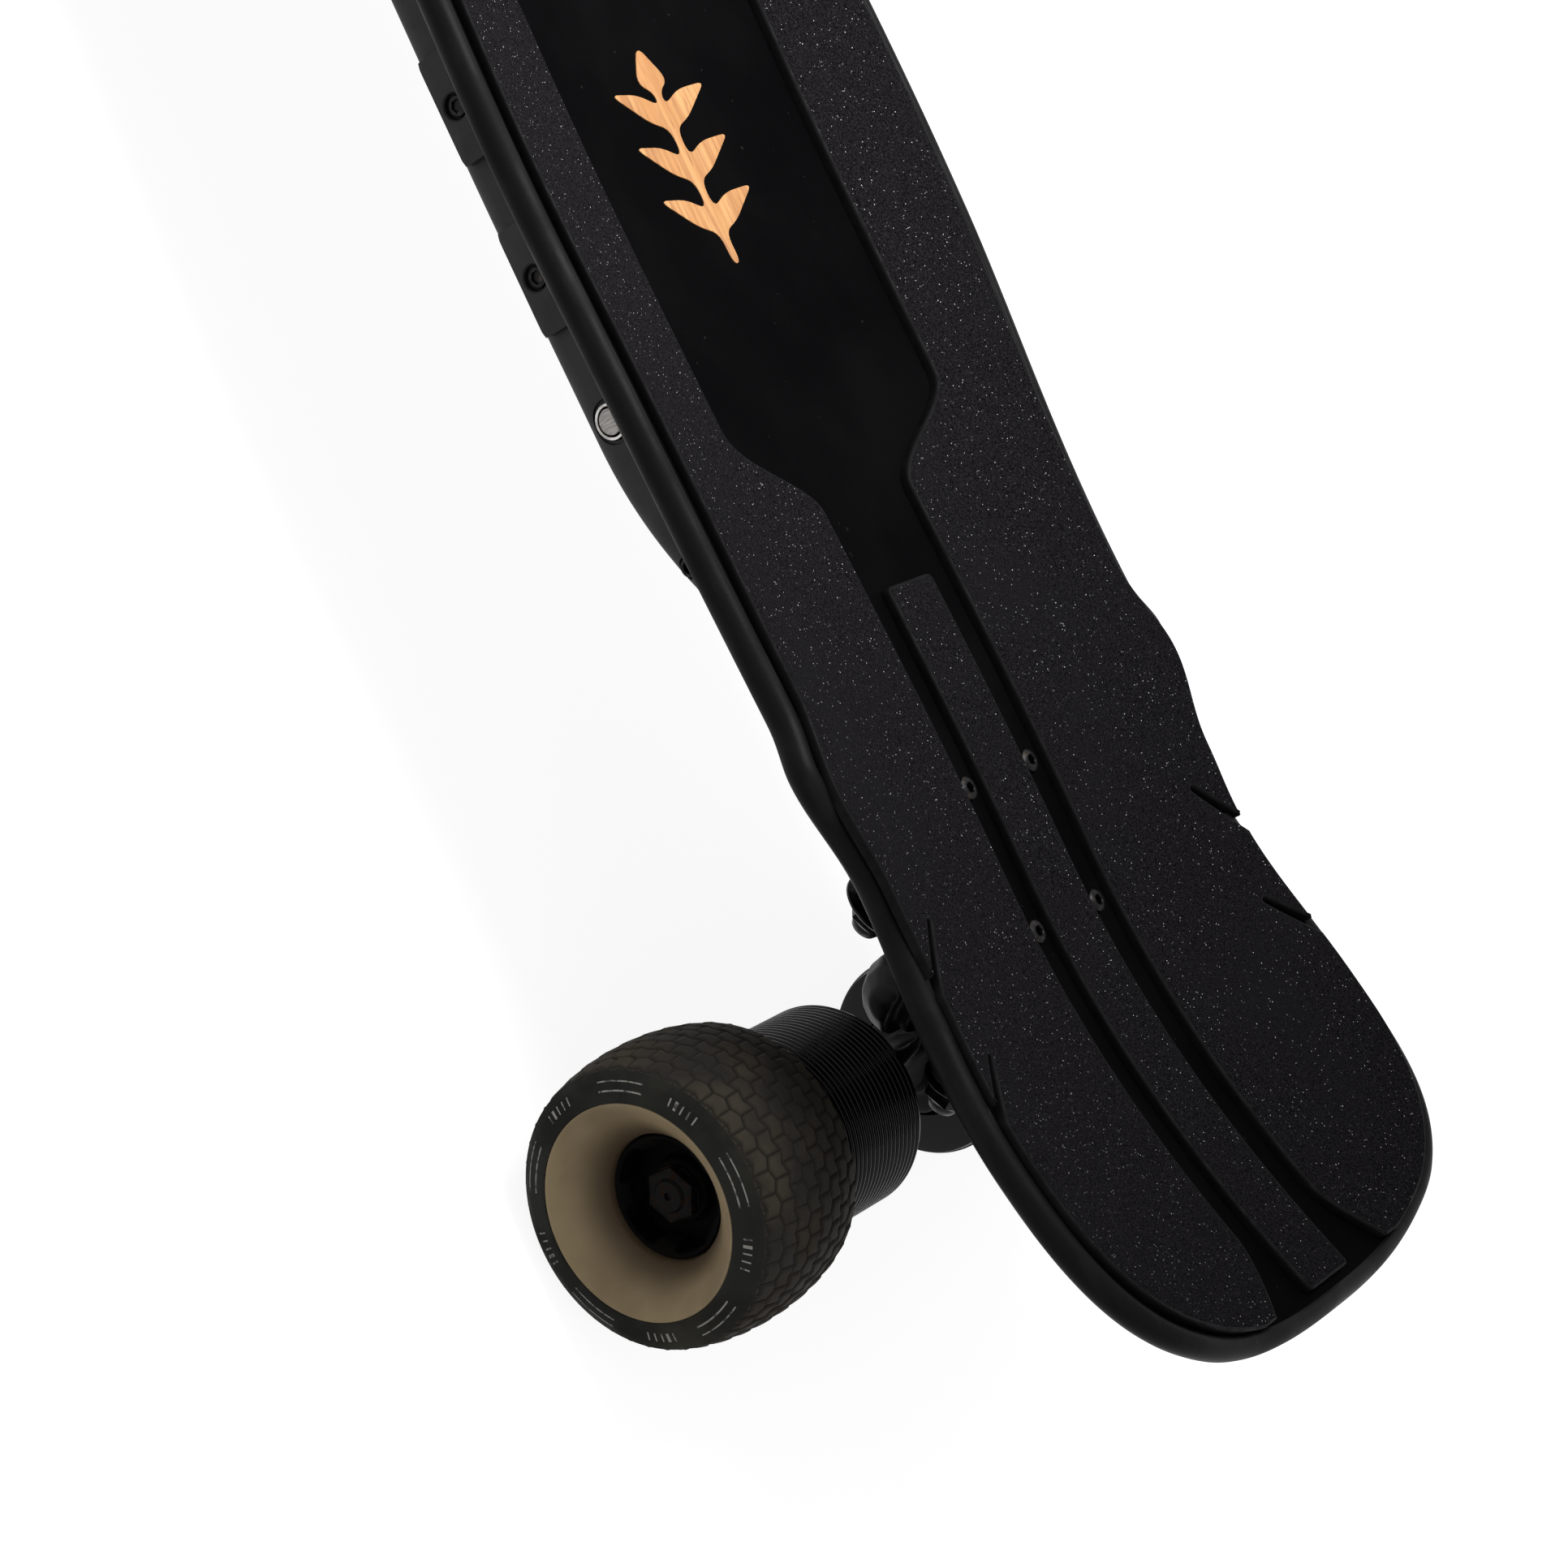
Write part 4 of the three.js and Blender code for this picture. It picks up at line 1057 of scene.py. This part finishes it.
def add_tyre(name, shape, body, node, place):
    """Tyre whose points keep their order, for the values that they carry."""
    mesh = placed(name, shape, place)
    for key, values in (("groove", shape.grooves), ("tread", shape.treads)):
        mesh.attributes.new(key, "FLOAT", "POINT").data.foreach_set("value", values)
    dressed(name, mesh, RUBBER, body, [node], sharp=38)
    mesh.materials.append(PAINT)
    for face in shape.painted:
        mesh.polygons[face].material_index = 1


def bowl_profile():
    """Dish of a wheel core from its lip in to the hub."""
    lip, hub = LIP - 0.7, HUB + 0.3
    row = []
    for t in spread(0, 1, 24):
        fall = 0.75 * t + 0.25 * t**3
        row.append((lip - (lip - hub) * t, LIP_AT - 0.2 - (DISH - 0.2) * fall))
    return row


def core_shape(bore, face):
    """Wheel core with a rounded lip and a dish, whose hub has a bore and a face so far out."""
    back = [(bore, TYRE_IN + 6), (bore + 1, TYRE_IN + 5), (LIP - 8, TYRE_IN + 5), (LIP - 7, TYRE_IN + 2),
            (LIP - 2, TYRE_IN + 1.6), (LIP, TYRE_IN + 3)]
    lip = [(LIP, LIP_AT - 0.4), (LIP - 0.25, LIP_AT - 0.15)]
    inner = [(HUB, LIP_AT - DISH - 0.6), (HUB - 0.2, face), (bore, face)]
    return turned([*back, *lip, *bowl_profile(), *inner], 128, loop=True)


def add_hub_shade(obj, place):
    """Marks how far each point of a wheel core lies in from its lip, for the painted shade toward its hub.
    """
    undo = place.inverted()
    values = []
    for vertex in obj.data.vertices:
        local = undo @ vertex.co
        values.append(1 - smooth_step(hypot(local.x, local.z) / MM, HUB, 0.85 * LIP))
    obj.data.attributes.new("inward", "FLOAT", "POINT").data.foreach_set("value", values)


def can_shape():
    """Motor can with fine fins turned into it."""
    fins, pitch = 20, 2.6
    profile = [(25, MOTOR_IN + 3), (21.5, MOTOR_IN + 2.4), (21.4, MOTOR_IN + 0.6), (22, MOTOR_IN),
               (34, MOTOR_IN), (36.4, MOTOR_IN + 0.8)]
    for i in range(fins):
        y = MOTOR_IN + 2.2 + pitch * i
        profile += [(36.9, y + 0.1), (37.3, y + 0.35), (MOTOR_RADIUS, y + 0.8), (MOTOR_RADIUS, y + 1.1),
                    (37.3, y + 1.5), (36.9, y + 1.75), (36.1, y + 2), (36, y + 2.3), (36.1, y + 2.5)]
    profile += [(37.3, MOTOR_OUT - 2.8), (37.3, MOTOR_OUT - 1), (36.4, MOTOR_OUT), (23, MOTOR_OUT),
                (22.4, MOTOR_OUT - 0.6), (16.5, MOTOR_OUT - 3), (33.2, MOTOR_OUT - 3), (33.2, MOTOR_IN + 3)]
    return turned(profile, 128, loop=True)


def hub_shape(facets=160):
    """Drive adapter that lines the wheel's hub: a deep cup with a lobed wall and a boss in it."""
    rim = LIP_AT - DISH - 1.5
    floor = BEARING_FACE - 5

    def lobed(radius, y, depth=0.0):
        return hoop(y, facets, lambda angle: radius - depth * smooth_step(cos(5 * angle), 0.1, 0.6))

    rows = [
        (16.5, MOTOR_OUT - 2), (ADAPTER, MOTOR_OUT), (ADAPTER, rim - 0.6), (ADAPTER - 0.6, rim),
        (20.6, rim, 0.4), (20, rim - 0.5, 0.8), (19.8, rim - 3, 2.4), (19.8, floor + 1, 2.4),
        (19, floor, 2), (12.4, floor), (11.6, floor + 0.6), (11.2, BEARING_FACE - 0.6),
        (10.6, BEARING_FACE), (7.4, BEARING_FACE), (6.9, BEARING_FACE - 0.6), (6.9, floor - 2),
        (16.5, floor - 3),
    ]
    return Shape().solid([lobed(*row) for row in rows], loop=True)


def bearing_shape():
    """Bearing pressed into a front core: two steel rings with a recessed seal between."""
    return turned([(4.5, -5), (4.5, 0), (6.4, 0), (6.6, -0.4), (9, -0.4), (9.2, 0), (11, 0), (11.2, -0.4),
                   (11.2, -5)], 72, loop=True, start=BEARING_FACE + 0.3)


tyre = tyre_shape()
for where, end in ENDS:
    for hand, side in HANDS:
        name = f"{where}_{hand}"
        body = f"{name}_wheel"
        place = standing(end * AXLE_AT, 0, WHEEL_RADIUS, side)
        add_tyre(f"{name}_tread", tyre, body, f"{name}_tyre", place)
        if end < 0:
            dish = core_shape(ADAPTER + 0.4, BEARING_FACE + 4)
            piece(f"{name}_can", can_shape(), ANODISED, body, [f"{name}_motor_can"], place)
            piece(f"{name}_drive_hub", hub_shape(), HUB_PAINT, body, place=place)
        else:
            dish = core_shape(11.6, BEARING_FACE)
            piece(f"{name}_bearing", bearing_shape(), STEEL, body, place=place)
        add_hub_shade(piece(f"{name}_dish", dish, CORE, body, [f"{name}_core"], place), place)

for node, finish in (("battery_pack", WRAP), ("motor_controller", CIRCUIT),
                     ("rear_left_motor_stator", WINDING), ("rear_right_motor_stator", WINDING)):
    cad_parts[node].data.materials[0] = finish


# ---------- floor, light and camera ----------


def seen_directly(tree):
    """Socket that is 1 for what the camera sees, also in metal and through glass, and else 0."""
    path = wired(tree, "ShaderNodeLightPath")
    total = path["Is Camera Ray"]
    for ray in ("Is Glossy Ray", "Is Transmission Ray"):
        total = wired(tree, "ShaderNodeMath", {0: total, 1: path[ray]}, operation="MAXIMUM")[0]
    return total


def emptied(data):
    """Node tree of a new material or world, with nothing in it."""
    data.use_nodes = True
    data.node_tree.nodes.clear()
    return data.node_tree


def floor_material():
    """Pale floor that is white to the camera, keeps the shadow and is clear from below."""
    material = bpy.data.materials.new("floor")
    tree = emptied(material)
    pale = wired(tree, "ShaderNodeBsdfDiffuse", {"Color": (0.5, 0.5, 0.5, 1)})
    glow = wired(tree, "ShaderNodeEmission", {"Strength": seen_directly(tree),
                                              "Color": (0.88, 0.88, 0.88, 1)})
    lit = wired(tree, "ShaderNodeAddShader", {0: pale[0], 1: glow[0]})
    clear = wired(tree, "ShaderNodeBsdfTransparent")
    below = wired(tree, "ShaderNodeNewGeometry")["Backfacing"]
    mix = wired(tree, "ShaderNodeMixShader", {0: below, 1: lit[0], 2: clear[0]})
    wired(tree, "ShaderNodeOutputMaterial", {"Surface": mix[0]})
    return material


def add_floor(size=12):
    """Square floor, twice the size in metres along each side."""
    mesh = bpy.data.meshes.new("floor")
    corners = [(-size, -size, 0), (size, -size, 0), (size, size, 0), (-size, size, 0)]
    mesh.from_pydata(corners, [], [(0, 1, 2, 3)])
    mesh.materials.append(floor_material())
    floor = added("floor", mesh)


def add_world(light=0.33):
    """Even surroundings that light the object a little and are white where the camera sees them."""
    world = bpy.data.worlds.new("studio")
    bpy.context.scene.world = world
    tree = emptied(world)
    level = {"Value": seen_directly(tree), "To Min": light, "To Max": 1}
    strength = wired(tree, "ShaderNodeMapRange", level)[0]
    white = wired(tree, "ShaderNodeBackground", {"Color": (1, 1, 1, 1), "Strength": strength})
    wired(tree, "ShaderNodeOutputWorld", {"Surface": white[0]})


def add_lamp(name, place, aim, size, cone, power):
    """Round softbox whose light is kept within a cone of so many degrees."""
    lamp = bpy.data.lights.new(name, "AREA")
    lamp.shape = "DISK"
    lamp.size = size
    lamp.spread = radians(cone)
    lamp.energy = power
    obj = added(name, lamp)
    obj.location = place
    obj.rotation_euler = (Vector(aim) - Vector(place)).to_track_quat("-Z", "Y").to_euler()


def add_camera():
    """Long lens from the left and above, rolled so that the nose points up in the picture."""
    eye = Vector((-248.2, 1094.7, 894.2)) * MM
    looking = Vector((0.0269, -0.7990, -0.6007)).normalized()
    right = looking.cross(Vector((0.9058, -0.2347, 0.3528))).normalized()
    up = right.cross(looking)
    camera = added("camera", bpy.data.cameras.new("camera"))
    camera.data.sensor_width = 36
    camera.data.lens = 87.9
    camera.data.clip_start = 0.02
    place = Matrix((right, up, -looking)).transposed().to_4x4()
    place.translation = eye
    camera.matrix_world = place
    bpy.context.scene.camera = camera


add_floor()
add_world()
add_lamp("key", place=(0.15, 0, 0.9), aim=(0.08, 0, 0), size=0.5, cone=88, power=2.5)
add_camera()
bpy.context.scene.view_settings.view_transform = "Standard"
